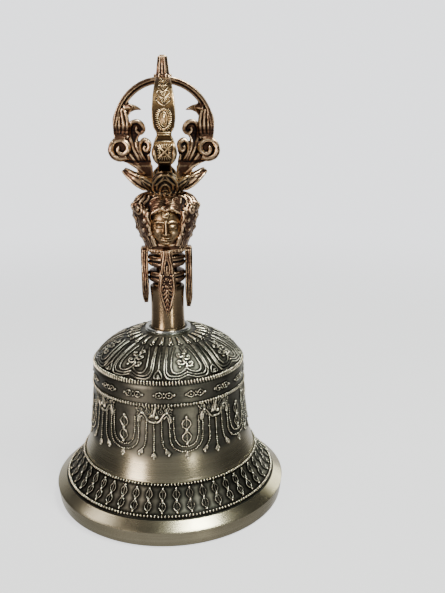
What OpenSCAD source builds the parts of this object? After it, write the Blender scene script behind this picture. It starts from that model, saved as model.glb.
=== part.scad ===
// Hand bell with a five-pronged handle, in millimetres.
// The rim stands on z = 0, the bell's axis is z, and the head on the handle faces -y.

/* [Bell] */
// Diameter over the crisp edge of the lip
rim_d = 90; // [88:1:94]
// Diameter of the waist, where the flare begins
waist_d = 60.8; // [59:0.1:62]
// Diameter at the foot of the domed shoulder
shoulder_d = 58; // [57:0.5:59]
// Height of the flat crown that carries the handle
crown_z = 65.8; // [65:0.1:66.5]
// Thickness of the bell's wall above the flare
wall = 2.6; // [2:0.1:3]
// Width of the ring that the rim stands on
lip_w = 3.8; // [3:0.1:4.5]

/* [Handle] */
// Height of the whole bell
total_h = 166; // [165:0.5:168]
// Outer diameter of the steel collar on the crown
collar_d = 17.4; // [16:0.1:18]
// Diameter of the plain ferrule at mid height
ferrule_d = 12.4; // [12:0.1:12.8]
// Height of the ferrule's top, where the stem begins
ferrule_z = 83.5; // [83:0.1:84]
// Diameter of the stem inside its rings
stem_d = 8; // [7:0.1:9]
// Diameter of the stem rings that the pendants hang on
ring_d = 14; // [13:0.1:14.4]
// Width of a pendant at its widest
pendant_w = 6.1; // [5:0.1:6.4]
// Width of the head over its hair
head_w = 25; // [23:0.5:26]
// Height of the underside of the head
head_z = 98; // [98:0.1:98.4]
// Height of the top of the head
head_top_z = 118.2; // [118:0.1:118.4]

/* [Crown of prongs] */
// Diameter over the arcs of the prongs
cage_d = 35.6; // [35:0.1:36]
// Height of the centre of the arcs
cage_z = 141; // [140.6:0.1:141.2]
// Radial thickness of an arc
prong_t = 2.4; // [2:0.1:2.6]
// Width of a prong at its medallion
prong_w = 7.9; // [7:0.1:8]
// Width of the square boss where the prongs meet
boss_w = 5.7; // [5.6:0.1:6]
// Reach of a lotus petal from the axis
petal_r = 14.8; // [14:0.1:15.2]

/* [Clapper] */
// Diameter of the eyebolt's shank
bolt_d = 4; // [3.5:0.1:4.4]
// Diameter of the wire of the eye
eye_wire = 2.2; // [2:0.1:2.3]
// Diameter of the link's wire
link_wire = 1.6; // [1.4:0.1:1.8]
// Diameter of the clapper's rod
rod_d = 3; // [2.6:0.1:3.2]
// Largest diameter of the bob
bob_d = 10.4; // [9:0.1:10.6]
// Height of the bob's underside above the rim
bob_z = 3.2; // [3:0.1:5]

/* [Hidden] */
SIDES = ["front", "right", "back", "left"];
$fn = 96;
eps = 0.5;              // overrun of a cutting tool

silver = "#a8a594";
steel = "#c2c3bd";
bronze = "#7a5a3c";
copper = "#9a6a42";
gilt = "#a58a52";
iron = "#5b5a58";

rim_r = rim_d/2;
lip_z = 5.9;            // height of the lip's crisp edge
waist_z = 31;           // height where flare and waist meet
dome_z = 52.6;          // height of the foot of the dome
seat_r = 10.5;          // radius of the crown's flat seat
crown_t = 3.5;          // thickness of the crown
bolt_gap = 0.1;         // clearance round the bolt in a plain hole
crown_under = crown_z - crown_t;

collar_t = 1;           // thickness of the collar under the ferrule
collar_h = 1.8;         // height of the collar's raised edge
ferrule_base = crown_z + collar_t;
ferrule_foot_r = 6.7;   // radius of the ferrule's flared foot
ferrule_top_r = 6.5;
ferrule_wall = 1.5;
stem_r = stem_d/2;
ring_r = ring_d/2;
pendant_t = 2.3;
bolt_top = 92;          // the bolt's end, inside the stem

neck_z = 119;           // narrowest place between head and lotus
neck_r = 6.2;
hub_r = 7.4;            // radius of the lotus hub's flat top
hub_z = 124;            // height of that top, where the prongs stand
arc_r = cage_d/2;
curl_r = 4.3;           // outer radius of the scroll at a prong's foot
curl_pos = [15.4, 134];
boss_z = [155.9, 159];  // bottom and top of the square boss
tip_w = [4.2, 3];       // width of the tip at its base and at its end
spindle_r = 1.9;

washer_d = 9;
washer_t = 0.9;
nut_w = 7;              // across flats
nut_t = 2.8;
nut_z = crown_under - washer_t - nut_t;
eye_r = 3;              // radius of the eye's centre line
eye_z = nut_z - 0.6 - eye_wire/2 - eye_r;
link_r = 2.3;           // radius of the link's rounded ends, at mid wire
link_l = 3.2;           // length of the link's straight sides
link_pivot = eye_z - eye_r;
rod_pivot = link_pivot - link_l - link_r;
loop_wire = 1.8;
loop_z = rod_pivot - (eye_r - link_r);
rod_end = 8;
bob_top = 17.5;

// Points of a cubic curve from a to d, with b and c as its handles
function curve(a, b, c, d, n = 10) =
    [for (i = [0:n]) let (t = i/n, u = 1 - t) u*u*u*a + 3*u*u*t*b + 3*u*t*t*c + t*t*t*d];

// Right half of an outline, and its mirror image to close it
function both_sides(half) =
    concat(half, [for (i = [len(half) - 1:-1:0]) [-half[i][0], half[i][1]]]);

// ---- Bell ----

// The wall from the crown's hole over the dome and down to the rim, and back up inside
module bell_body() {
    in_r = bolt_d/2 + bolt_gap;
    outer = concat(
        [[in_r, crown_z], [seat_r, crown_z]],
        curve([seat_r, crown_z], [20, 64.3], [shoulder_d/2 - 0.4, 58.5], [shoulder_d/2, dome_z], 12),
        curve([shoulder_d/2, dome_z], [shoulder_d/2 - 0.4, 46], [waist_d/2 - 0.6, 36.5], [waist_d/2, waist_z], 8),
        curve([waist_d/2, waist_z], [31.6, 20], [36, 12.8], [rim_r - 3.7, lip_z + 2.7], 12),
        [[rim_r, lip_z], [rim_r - 0.6, 0.5], [rim_r - 1.1, 0]]);
    inner = concat(
        curve([rim_r - 1.1 - lip_w, 0], [35, 10], [waist_d/2 - wall, 19], [waist_d/2 - wall, waist_z], 12),
        curve([waist_d/2 - wall, waist_z], [waist_d/2 - wall - 0.6, 38],
              [shoulder_d/2 - wall, 46], [shoulder_d/2 - wall, dome_z - 1], 8),
        curve([shoulder_d/2 - wall, dome_z - 1], [shoulder_d/2 - wall, 58], [18, crown_under - 0.6],
              [seat_r, crown_under], 12),
        [[in_r, crown_under]]);
    color(silver)
        rotate_extrude()
            polygon(concat(outer, inner));
}

// ---- Handle below the head ----

// Dished steel ring that the ferrule stands in
module crown_collar() {
    in_r = bolt_d/2 + bolt_gap;
    out_r = collar_d/2;
    dish_r = ferrule_foot_r + 0.4;
    color(steel)
        translate([0, 0, crown_z])
            rotate_extrude()
                polygon([[in_r, 0], [out_r - 0.3, 0], [out_r, 0.4], [out_r, collar_h - 0.5],
                         [out_r - 0.5, collar_h], [dish_r + 0.3, collar_h],
                         [dish_r, collar_t], [in_r, collar_t]]);
}

// Plain brushed tube with a closed top that the bolt passes through
module handle_ferrule() {
    r = ferrule_d/2;
    bore_r = r - ferrule_wall;
    side = curve([ferrule_foot_r, ferrule_base + 1], [r - 0.1, ferrule_base + 3],
                 [r - 0.1, ferrule_z - 3.5], [ferrule_top_r, ferrule_z - 1.2], 8);
    color(bronze)
        rotate_extrude()
            polygon(concat(
                [[bore_r, ferrule_base], [ferrule_foot_r, ferrule_base]], side,
                [[ferrule_top_r, ferrule_z], [bolt_d/2 + bolt_gap, ferrule_z],
                 [bolt_d/2 + bolt_gap, ferrule_z - 2], [bore_r, ferrule_z - 2]]));
}

// Pillar between ferrule and head, tapped for the bolt from below
module stem_core() {
    color(bronze)
        difference() {
            translate([0, 0, ferrule_z])
                cylinder(h = head_z - ferrule_z, r = stem_r);
            translate([0, 0, ferrule_z - eps])
                cylinder(h = bolt_top - ferrule_z + eps, r = bolt_d/2);
        }
}

// Rounded ring round the stem
module stem_ring(z, h) {
    edge = h*0.3;
    color(copper)
        translate([0, 0, z])
            rotate_extrude()
                polygon(concat(
                    [[stem_r, 0]],
                    curve([ring_r - edge, 0], [ring_r - edge/2, 0], [ring_r, edge/2], [ring_r, edge], 4),
                    curve([ring_r, h - edge], [ring_r, h - edge/2], [ring_r - edge/2, h],
                          [ring_r - edge, h], 4),
                    [[stem_r, h]]));
}

// Leaf-shaped drop that hangs from the necklace and rests against the stem rings
module pendant(side) {
    w = pendant_w/2;
    half = concat(
        curve([0, 74], [0.8, 76], [1.9, 75.8], [2, 77.5], 6),
        curve([2, 77.5], [1.7, 79.5], [w, 80.5], [w, 84], 6),
        curve([w, 84], [w, 88], [1.9, 91], [1.9, head_z], 8));
    color(copper)
        rotate(side*90)
            difference() {
                translate([0, 0.1 - ring_r, 0])
                    rotate([90, 0, 0])
                        linear_extrude(pendant_t)
                            polygon(both_sides(half));
                translate([0, 0, ferrule_z])
                    cylinder(h = head_z - ferrule_z + eps, r = ring_r);
            }
}

// ---- Head and lotus ----

// Hair that widens upwards, cut back at the front, with a plain oval face set into it
module head() {
    r = head_w/2;
    hair = concat(
        [[0, head_z]],
        curve([7.8, head_z], [8.3, 101], [r - 0.5, 105], [r, 112.5], 10),
        curve([r, 112.5], [r + 0.2, 116.5], [r - 3.5, head_top_z - 0.6], [neck_r + 0.4, head_top_z], 8),
        [[0, head_top_z]]);
    color(copper)
        union() {
            difference() {
                rotate_extrude()
                    polygon(hair);
                translate([-r, -r - 8.2, head_z + 3])
                    cube([2*r, r, 12]);
            }
            translate([0, -4.6, 0])
                rotate_extrude()
                    polygon(concat(
                        curve([0, 99.6], [3.6, 99.6], [5.7, 102.5], [5.7, 106.5], 8),
                        curve([5.7, 106.5], [5.7, 111.5], [4, 114.5], [0, 114.5], 8)));
        }
}

// Outline of the waisted hub under the prongs
module hub_outline() {
    polygon(concat(
        [[0, head_top_z], [neck_r + 0.4, head_top_z]],
        curve([neck_r + 0.4, head_top_z], [neck_r, neck_z], [neck_r, neck_z + 0.6], [neck_r + 0.2, neck_z + 1.4], 4),
        [[hub_r, hub_z - 1.2], [hub_r, hub_z], [0, hub_z]]));
}

module lotus_base() {
    color(bronze)
        rotate_extrude()
            hub_outline();
}

// Petal that leans out from the hub and ends in a point
module lotus_petal(side) {
    lower = curve([neck_r - 1, 118.6], [9.5, 119.2], [13.4, 122.6], [petal_r, 126.6], 8);
    upper = curve([petal_r - 1.1, 127], [12.4, 124.6], [9.6, 123.2], [neck_r - 1, 123.2], 8);
    plan = concat(
        [[4.6, 3]],
        curve([4.6, 5], [5.6, 8.5], [4.8, 11.5], [0.6, petal_r + 0.4], 10));
    color(bronze)
        rotate(side*90)
            difference() {
                intersection() {
                    rotate(-132)
                        rotate_extrude(angle = 84)
                            polygon(concat(lower, upper));
                    translate([0, 0, head_top_z])
                        linear_extrude(12)
                            mirror([0, 1])
                                polygon(both_sides(plan));
                }
                rotate_extrude()
                    hub_outline();
            }
}

// ---- Prongs ----

// A prong seen from the side: arc, inner swelling, claw, scrolls and foot
module prong_side() {
    translate([0, cage_z])
        intersection() {
            difference() {
                circle(arc_r);
                circle(arc_r - prong_t);
            }
            translate([boss_w/2, curl_pos[1] - cage_z])
                square([arc_r, arc_r + 10]);
        }
    translate(curl_pos)
        circle(curl_r);
    polygon(curve([16.6, 149], [11.8, 146], [11, 141], [12.6, 135], 8));
    polygon([[16.4, 149], [12.5, 135], [15.4, 135], [arc_r - 0.3, cage_z]]);
    polygon(concat(
        curve([13.8, 150.6], [12.8, 148.8], [10.8, 148.2], [8.2, 148], 5),
        curve([8.2, 147.6], [10.8, 146.8], [11.4, 144.6], [12.4, 143.4], 5)));
    translate([10.2, 141])
        circle(2.9);
    translate([7.4, 134.6])
        circle(2.6);
    polygon([[4.3, hub_z], [hub_r - 0.2, hub_z], [9.4, 127.2], [15.4, 129.8],
             [15.4, 135], [12.6, 141], [8.4, 143.2], [4.9, 134]]);
}

// A prong seen from the front: shield, neck, medallion and taper
module prong_front() {
    w = prong_w/2;
    half = concat(
        [[3, hub_z - eps], [3.2, 129]],
        curve([3.2, 129], [w, 131], [w, 137], [2.7, 139.2], 8),
        curve([2.7, 140.4], [w - 0.3, 142], [w, 143], [w, 147], 6),
        curve([w, 147], [w, 152], [3.2, 155], [boss_w/2 - 0.15, 157], 6),
        [[boss_w/2 - 0.15, 160]]);
    polygon(both_sides(half));
}

module prong(side) {
    color(side == 0 ? gilt : copper)
        rotate(side*90)
            intersection() {
                rotate([90, 0, -90])
                    linear_extrude(prong_w + 1, center = true)
                        prong_side();
                rotate([90, 0, 0])
                    linear_extrude(2*(arc_r + curl_r), center = true)
                        prong_front();
            }
}

// Outline of the square tip from one side
module tip_side() {
    polygon([[-tip_w[0]/2, boss_z[1]], [tip_w[0]/2, boss_z[1]], [tip_w[1]/2, total_h - 1],
             [tip_w[1]/2 - 0.5, total_h], [0.5 - tip_w[1]/2, total_h], [-tip_w[1]/2, total_h - 1]]);
}

// Spindle inside the cage, the boss that the prongs run into and the tip above it
module centre_prong() {
    boss_h = boss_z[1] - boss_z[0];
    color(bronze) {
        rotate_extrude()
            polygon(concat(
                [[0, hub_z], [spindle_r + 1, hub_z]],
                curve([spindle_r + 1, hub_z + 2], [spindle_r, hub_z + 6],
                      [spindle_r, boss_z[0] - 8], [spindle_r + 0.6, boss_z[0]], 8),
                [[0, boss_z[0]]]));
        translate([-boss_w/2, -boss_w/2, boss_z[0]])
            cube([boss_w, boss_w, boss_h]);
        intersection() {
            rotate([90, 0, 0])
                linear_extrude(boss_w, center = true)
                    tip_side();
            rotate([90, 0, 90])
                linear_extrude(boss_w, center = true)
                    tip_side();
        }
    }
}

// ---- Clapper and its fixings ----

module crown_washer() {
    color(steel)
        translate([0, 0, crown_under - washer_t])
            difference() {
                cylinder(h = washer_t, d = washer_d);
                translate([0, 0, -eps])
                    cylinder(h = washer_t + 2*eps, r = bolt_d/2 + bolt_gap);
            }
}

module crown_nut() {
    color(steel)
        translate([0, 0, nut_z])
            difference() {
                cylinder(h = nut_t, d = nut_w/cos(30), $fn = 6);
                translate([0, 0, -eps])
                    cylinder(h = nut_t + 2*eps, d = bolt_d);
            }
}

// Ring of round wire that stands in the plane x = 0
module wire_ring(z, r, wire) {
    translate([0, 0, z])
        rotate([0, 90, 0])
            rotate_extrude()
                translate([r, 0])
                    circle(d = wire, $fn = 48);
}

// Shank that holds crown and stem together, with the eye that the clapper hangs from
module clapper_eyebolt() {
    color(iron) {
        wire_ring(eye_z, eye_r, eye_wire);
        translate([0, 0, eye_z + eye_r])
            cylinder(h = bolt_top - eye_z - eye_r, d = bolt_d);
    }
}

// Rounded end of the link, in the plane y = 0
module link_end() {
    rotate([90, 0, 0])
        rotate_extrude(angle = 180)
            translate([link_r, 0])
                circle(d = link_wire, $fn = 48);
}

module clapper_link() {
    color(iron)
        translate([0, 0, link_pivot - link_l]) {
            translate([0, 0, link_l])
                link_end();
            rotate([180, 0, 0])
                link_end();
            for (x = [-link_r, link_r])
                translate([x, 0, 0])
                    cylinder(h = link_l, d = link_wire, $fn = 48);
        }
}

// Loop that rides in the link, with the straight rod below it
module clapper_rod() {
    color(iron) {
        wire_ring(loop_z, eye_r, loop_wire);
        translate([0, 0, rod_end])
            cylinder(h = loop_z - eye_r - rod_end, d = rod_d);
    }
}

// Onion-shaped striker on the rod's end
module clapper_bob() {
    r = bob_d/2;
    color(iron)
        rotate_extrude()
            polygon(concat(
                curve([0, bob_z], [r*0.7, bob_z], [r, bob_z + 2.5], [r, bob_z + 5], 8),
                curve([r, bob_z + 5], [r, bob_z + 9], [rod_d/2 + 1, bob_top - 4],
                      [rod_d/2 + 0.6, bob_top], 8),
                [[rod_d/2, bob_top], [rod_d/2, rod_end], [0, rod_end]]));
}

bell_body();
crown_collar();
handle_ferrule();
stem_core();
stem_ring(85.3, 4.4);  // stem_ring_lower
stem_ring(91.2, 4.4);  // stem_ring_upper
stem_ring(96.2, head_z - 96.2);  // necklace_ring
for (side = [0:3])
    pendant(side);
head();
lotus_base();
for (side = [0:3])
    lotus_petal(side);
for (side = [0:3])
    prong(side);
centre_prong();
crown_washer();
crown_nut();
clapper_eyebolt();
clapper_link();
clapper_rod();
clapper_bob();
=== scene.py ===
import math
import random
import bpy
import numpy as np
from mathutils import Matrix, Vector
from mathutils.kdtree import KDTree


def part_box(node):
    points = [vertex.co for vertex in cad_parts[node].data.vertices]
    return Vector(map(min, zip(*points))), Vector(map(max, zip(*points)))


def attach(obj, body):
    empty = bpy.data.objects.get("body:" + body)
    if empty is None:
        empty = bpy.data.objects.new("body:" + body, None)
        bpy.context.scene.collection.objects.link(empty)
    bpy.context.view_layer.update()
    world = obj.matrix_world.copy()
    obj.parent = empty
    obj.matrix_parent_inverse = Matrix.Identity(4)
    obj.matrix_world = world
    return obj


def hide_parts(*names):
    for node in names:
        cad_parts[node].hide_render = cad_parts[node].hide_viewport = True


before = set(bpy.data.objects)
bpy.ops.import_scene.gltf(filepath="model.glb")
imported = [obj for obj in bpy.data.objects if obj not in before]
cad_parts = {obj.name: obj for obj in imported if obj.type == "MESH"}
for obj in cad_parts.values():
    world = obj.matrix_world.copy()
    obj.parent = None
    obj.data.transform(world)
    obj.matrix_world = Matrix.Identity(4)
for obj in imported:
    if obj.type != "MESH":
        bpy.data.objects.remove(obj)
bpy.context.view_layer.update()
mm = 0.001
sides = ["front", "right", "back", "left"]    # each a quarter turn on from the last


# selecting, meshes and curves

def clearSelection():
    if bpy.context.object and bpy.context.object.mode != "OBJECT":
        bpy.ops.object.mode_set(mode="OBJECT")
    bpy.ops.object.select_all(action="DESELECT")


def pick(*objs):
    clearSelection()
    for o in objs:
        o.select_set(True)
    bpy.context.view_layer.objects.active = objs[0]
    return objs[0]


def applyModifier(o, kind, **settings):
    pick(o)
    m = o.modifiers.new(kind.title(), kind)
    for key, value in settings.items():
        setattr(m, key, value)
    bpy.ops.object.modifier_apply(modifier=m.name)
    return o


def applyPlace(o):
    pick(o)
    bpy.ops.object.transform_apply(location=True, rotation=True, scale=True)
    return o


def joined(name, objs):
    pick(*objs)
    if len(objs) > 1:
        bpy.ops.object.join()
    o = bpy.context.object
    o.name = name
    o.data.name = name
    return o


def facesOut(o, merge=0.00001):
    pick(o)
    bpy.ops.object.mode_set(mode="EDIT")
    bpy.ops.mesh.select_all(action="SELECT")
    bpy.ops.mesh.remove_doubles(threshold=merge)
    bpy.ops.mesh.normals_make_consistent(inside=False)
    bpy.ops.object.mode_set(mode="OBJECT")
    return o


def smooth(o, degrees=None):
    pick(o)
    if degrees:
        bpy.ops.object.shade_smooth_by_angle(angle=math.radians(degrees))
    else:
        bpy.ops.object.shade_smooth()
    return o


def coords(o):
    co = np.empty(len(o.data.vertices)*3, np.float32)
    o.data.vertices.foreach_get("co", co)
    return co.reshape(-1, 3).astype(float)


def setCoords(o, co):
    o.data.vertices.foreach_set("co", np.asarray(co, np.float32).ravel())
    o.data.update()


def normals(o):
    n = np.empty(len(o.data.vertices)*3, np.float32)
    o.data.vertex_normals.foreach_get("vector", n)
    return n.reshape(-1, 3).astype(float)


def setMark(o, name, values):
    mark = o.data.attributes.get(name) or o.data.attributes.new(name, "FLOAT", "POINT")
    mark.data.foreach_set("value", np.clip(values, 0, 1).astype(np.float32))


def meshObject(name, verts, faces=(), edges=()):
    mesh = bpy.data.meshes.new(name)
    mesh.from_pydata([tuple(v) for v in verts], [tuple(e) for e in edges], [tuple(f) for f in faces])
    mesh.update()
    o = bpy.data.objects.new(name, mesh)
    bpy.context.scene.collection.objects.link(o)
    return o


def curvePoints(a, b, c, d, n=12):
    t = np.linspace(0, 1, n)[:, None]
    u = 1 - t
    return u**3*np.array(a) + 3*u*u*t*np.array(b) + 3*u*t*t*np.array(c) + t**3*np.array(d)


def through(points, n=24):    # smooth run of n points through the given ones
    p = np.array(points, float)
    at = lambda i: p[min(max(i, 0), len(p) - 1)]
    run = []
    for g in np.linspace(0, len(p) - 1, n):
        i = int(math.floor(g))
        t = g - i
        a, b, c, d = at(i - 1), at(i), at(i + 1), at(i + 2)
        run.append(0.5*(2*b + (c - a)*t + (2*a - 5*b + 4*c - d)*t*t + (3*b - a - 3*c + d)*t**3))
    return np.array(run)


def step(low, high, x):
    t = np.clip((x - low)/(high - low), 0, 1)
    return t*t*(3 - 2*t)


def tubes(name, lines, round=1):    # lines: (points in mm, radius in mm or one per point, closed)
    data = bpy.data.curves.new(name, "CURVE")
    data.dimensions = "3D"
    data.bevel_depth = mm
    data.bevel_resolution = round
    data.use_fill_caps = True
    for points, radius, closed in lines:
        points = np.asarray(points, float)
        spline = data.splines.new("POLY")
        spline.points.add(len(points) - 1)
        flat = np.concatenate([points*mm, np.ones((len(points), 1))], 1)
        spline.points.foreach_set("co", flat.astype(np.float32).ravel())
        spline.points.foreach_set("radius", np.broadcast_to(radius, len(points)).astype(np.float32))
        spline.use_cyclic_u = closed
    o = bpy.data.objects.new(name, data)
    bpy.context.scene.collection.objects.link(o)
    pick(o)
    bpy.ops.object.convert(target="MESH")
    return bpy.context.object


def copiesAt(name, motif, places):    # one mesh of copies of the motif, which is used up
    v = coords(motif)
    loops = np.empty(len(motif.data.loops), int)
    motif.data.loops.foreach_get("vertex_index", loops)
    sizes = np.empty(len(motif.data.polygons), int)
    motif.data.polygons.foreach_get("loop_total", sizes)
    places = np.array(places, float)
    many = len(places)
    verts = np.einsum("kij,nj->kni", places[:, :3, :3], v) + places[:, None, :3, 3]*mm
    mesh = bpy.data.meshes.new(name)
    mesh.vertices.add(many*len(v))
    mesh.vertices.foreach_set("co", verts.astype(np.float32).ravel())
    mesh.loops.add(many*len(loops))
    mesh.loops.foreach_set("vertex_index", (loops[None] + np.arange(many)[:, None]*len(v)).ravel())
    mesh.polygons.add(many*len(sizes))
    total = np.tile(sizes, many)
    mesh.polygons.foreach_set("loop_start", np.concatenate([[0], np.cumsum(total)[:-1]]))
    mesh.update(calc_edges=True)
    mesh.validate()
    o = bpy.data.objects.new(name, mesh)
    bpy.context.scene.collection.objects.link(o)
    bpy.data.objects.remove(motif)
    return o


def bead(size, segments=8, rings=5):    # half sizes in mm along x, y and z
    clearSelection()
    bpy.ops.mesh.primitive_uv_sphere_add(segments=segments, ring_count=rings, radius=mm)
    o = bpy.context.object
    bpy.ops.object.mode_set(mode="EDIT")
    bpy.ops.transform.resize(value=size)
    bpy.ops.object.mode_set(mode="OBJECT")
    return o


def spun(name, profile, steps, closed=False):    # turned on the lathe from (radius, height) in mm
    clearSelection()
    p = np.array(profile, float)
    n = len(p)
    edges = [(i, i + 1) for i in range(n - 1)] + ([(n - 1, 0)] if closed else [])
    o = meshObject(name, np.stack([p[:, 0]*0, -p[:, 0], p[:, 1]], 1)*mm, edges=edges)
    pick(o)
    bpy.ops.object.mode_set(mode="EDIT")
    bpy.ops.mesh.select_all(action="SELECT")
    bpy.ops.mesh.spin(steps=steps, angle=math.tau, center=(0, 0, 0), axis=(0, 0, 1))
    bpy.ops.object.mode_set(mode="OBJECT")
    return facesOut(o)


def seatAt(point, size):    # upright place for a motif, point in mm
    seat = np.eye(4)
    seat[:3, :3] *= size
    seat[:3, 3] = point
    return seat


def scaledSeat(seat, size):
    seat = seat.copy()
    seat[:3, :3] = seat[:3, :3]*np.asarray(size, float)
    return seat


def ring(n):    # n even angles round a circle
    return np.linspace(0, math.tau, n, endpoint=False)


# finishes

def calc(tree, operation, a, b=0.0, clamp=False):
    n = tree.nodes.new("ShaderNodeMath")
    n.operation = operation
    n.use_clamp = clamp
    for i, v in enumerate((a, b)):
        if isinstance(v, bpy.types.NodeSocket):
            tree.links.new(v, n.inputs[i])
        else:
            n.inputs[i].default_value = v
    return n.outputs[0]


def plus(tree, a, b, clamp=False):
    return calc(tree, "ADD", a, b, clamp)


def minus(tree, a, b):
    return calc(tree, "SUBTRACT", a, b)


def times(tree, a, b):
    return calc(tree, "MULTIPLY", a, b)


def blendColours(tree, factor, a, b):
    n = tree.nodes.new("ShaderNodeMix")
    n.data_type = "RGBA"
    for i, v in ((0, factor), (6, a), (7, b)):
        if isinstance(v, bpy.types.NodeSocket):
            tree.links.new(v, n.inputs[i])
        else:
            n.inputs[i].default_value = (*v, 1) if isinstance(v, tuple) else v
    return n.outputs[2]


def noise(tree, place, scale, detail=3.0, rough=0.55, warp=0.0):
    n = tree.nodes.new("ShaderNodeTexNoise")
    n.inputs["Scale"].default_value = scale
    n.inputs["Detail"].default_value = detail
    n.inputs["Roughness"].default_value = rough
    n.inputs["Distortion"].default_value = warp
    tree.links.new(place, n.inputs["Vector"])
    return n.outputs[0]


def spread(tree, value, low, high, toLow=0.0, toHigh=1.0):
    n = tree.nodes.new("ShaderNodeMapRange")
    n.interpolation_type = "SMOOTHSTEP"
    for key, v in (("From Min", low), ("From Max", high), ("To Min", toLow), ("To Max", toHigh)):
        n.inputs[key].default_value = v
    tree.links.new(value, n.inputs["Value"])
    return n.outputs["Result"]


def newGroup(name, inputs, outputs):
    tree = bpy.data.node_groups.new(name, "ShaderNodeTree")
    for label, kind, value in inputs:
        s = tree.interface.new_socket(label, in_out="INPUT", socket_type="NodeSocket" + kind)
        if value is not None:
            s.default_value = (*value, 1) if kind == "Color" else value
    for label, kind in outputs:
        tree.interface.new_socket(label, in_out="OUTPUT", socket_type="NodeSocket" + kind)
    return tree, tree.nodes.new("NodeGroupInput").outputs, tree.nodes.new("NodeGroupOutput").inputs


def patinaGroup():    # dark in the hollows, worn bright on the highs, with blotches between
    tree, given, out = newGroup(
        "patina",
        [("Vector", "Vector", None), ("Height", "Float", 0.5), ("Hollow", "Color", (0.02, 0.02, 0.02)),
         ("Body", "Color", (0.3, 0.2, 0.1)), ("Worn", "Color", (0.8, 0.7, 0.5)),
         ("Blotch", "Float", 0.2), ("Satin", "Float", 0.3), ("Matt", "Float", 0.6)],
        [("Colour", "Color"), ("Roughness", "Float"), ("Metal", "Float"), ("Pits", "Float")])
    broad = noise(tree, given["Vector"], 160, 4, 0.6, 0.4)
    fine = noise(tree, given["Vector"], 900, 3, 0.6)
    shift = times(tree, minus(tree, broad, 0.5), given["Blotch"])
    shift = plus(tree, shift, times(tree, minus(tree, fine, 0.5),
                                          times(tree, given["Blotch"], 0.6)))
    level = plus(tree, given["Height"], shift, True)
    low = spread(tree, level, 0.05, 0.5)
    high = spread(tree, level, 0.5, 0.92)
    tone = blendColours(tree, low, given["Hollow"], given["Body"])
    tone = blendColours(tree, high, tone, given["Worn"])
    tree.links.new(tone, out["Colour"])
    rough = plus(tree, given["Matt"], times(tree, low, minus(tree, given["Satin"], given["Matt"])))
    rough = plus(tree, rough, times(tree, minus(tree, fine, 0.5), 0.25), True)
    tree.links.new(rough, out["Roughness"])
    tree.links.new(spread(tree, level, 0.0, 0.3, 0.75, 1.0), out["Metal"])
    tree.links.new(plus(tree, fine, times(tree, broad, 0.5)), out["Pits"])
    return tree


def turnedGroup():    # fine lines left by the lathe, round the object's upright axis
    tree, given, out = newGroup(
        "turned", [("Vector", "Vector", None), ("Fineness", "Float", 1.0)],
        [("Line", "Float"), ("Streak", "Float")])
    apart = tree.nodes.new("ShaderNodeSeparateXYZ")
    tree.links.new(given["Vector"], apart.inputs[0])
    x, y, z = apart.outputs
    radius = calc(tree, "SQRT", plus(tree, times(tree, x, x), times(tree, y, y)))
    together = tree.nodes.new("ShaderNodeCombineXYZ")
    along = times(tree, plus(tree, z, times(tree, radius, 0.73)), given["Fineness"])
    tree.links.new(times(tree, x, 0.02), together.inputs[0])
    tree.links.new(times(tree, y, 0.02), together.inputs[1])
    tree.links.new(along, together.inputs[2])
    tree.links.new(noise(tree, together.outputs[0], 5200, 2, 0.7), out["Line"])
    tree.links.new(noise(tree, together.outputs[0], 900, 3, 0.6), out["Streak"])
    return tree


patina = patinaGroup()
turned = turnedGroup()


class Finish:    # one material being put together
    def __init__(self, name, roughness=0.4, metallic=1.0, **fixed):
        self.material = bpy.data.materials.new(name)
        self.material.use_nodes = True
        self.tree = self.material.node_tree
        self.shader = self.tree.nodes["Principled BSDF"]
        self.shader.inputs["Roughness"].default_value = roughness
        self.shader.inputs["Metallic"].default_value = metallic
        for key, value in fixed.items():
            self.shader.inputs[key.replace("_", " ")].default_value = value
        self.place = self.tree.nodes.new("ShaderNodeTexCoord").outputs["Object"]

    def mark(self, name):
        n = self.tree.nodes.new("ShaderNodeAttribute")
        n.attribute_name = name
        return n.outputs["Fac"]

    def group(self, tree, **given):
        n = self.tree.nodes.new("ShaderNodeGroup")
        n.node_tree = tree
        self.tree.links.new(self.place, n.inputs["Vector"])
        for key, v in given.items():
            if isinstance(v, bpy.types.NodeSocket):
                self.tree.links.new(v, n.inputs[key])
            else:
                n.inputs[key].default_value = (*v, 1) if isinstance(v, tuple) else v
        return n.outputs

    def feed(self, **sources):
        for key, source in sources.items():
            self.tree.links.new(source, self.shader.inputs[key.replace("_", " ")])

    def brushRound(self):    # highlights drawn out by brushing round the upright axis
        tangent = self.tree.nodes.new("ShaderNodeTangent")
        tangent.direction_type = "RADIAL"
        tangent.axis = "Z"
        self.tree.links.new(tangent.outputs[0], self.shader.inputs["Tangent"])

    def bump(self, height, depth, strength=1.0):    # depth in mm
        n = self.tree.nodes.new("ShaderNodeBump")
        n.inputs["Distance"].default_value = depth*mm
        n.inputs["Strength"].default_value = strength
        self.tree.links.new(height, n.inputs["Height"])
        self.tree.links.new(n.outputs[0], self.shader.inputs["Normal"])


silverTones = {
    "satin": (0.37, 0.335, 0.235), "ground": (0.07, 0.07, 0.06), "hollow": (0.008, 0.008, 0.007),
    "worn": (0.84, 0.79, 0.62),
    "satinRoughness": 0.27, "groundRoughness": 0.42,
}


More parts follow.
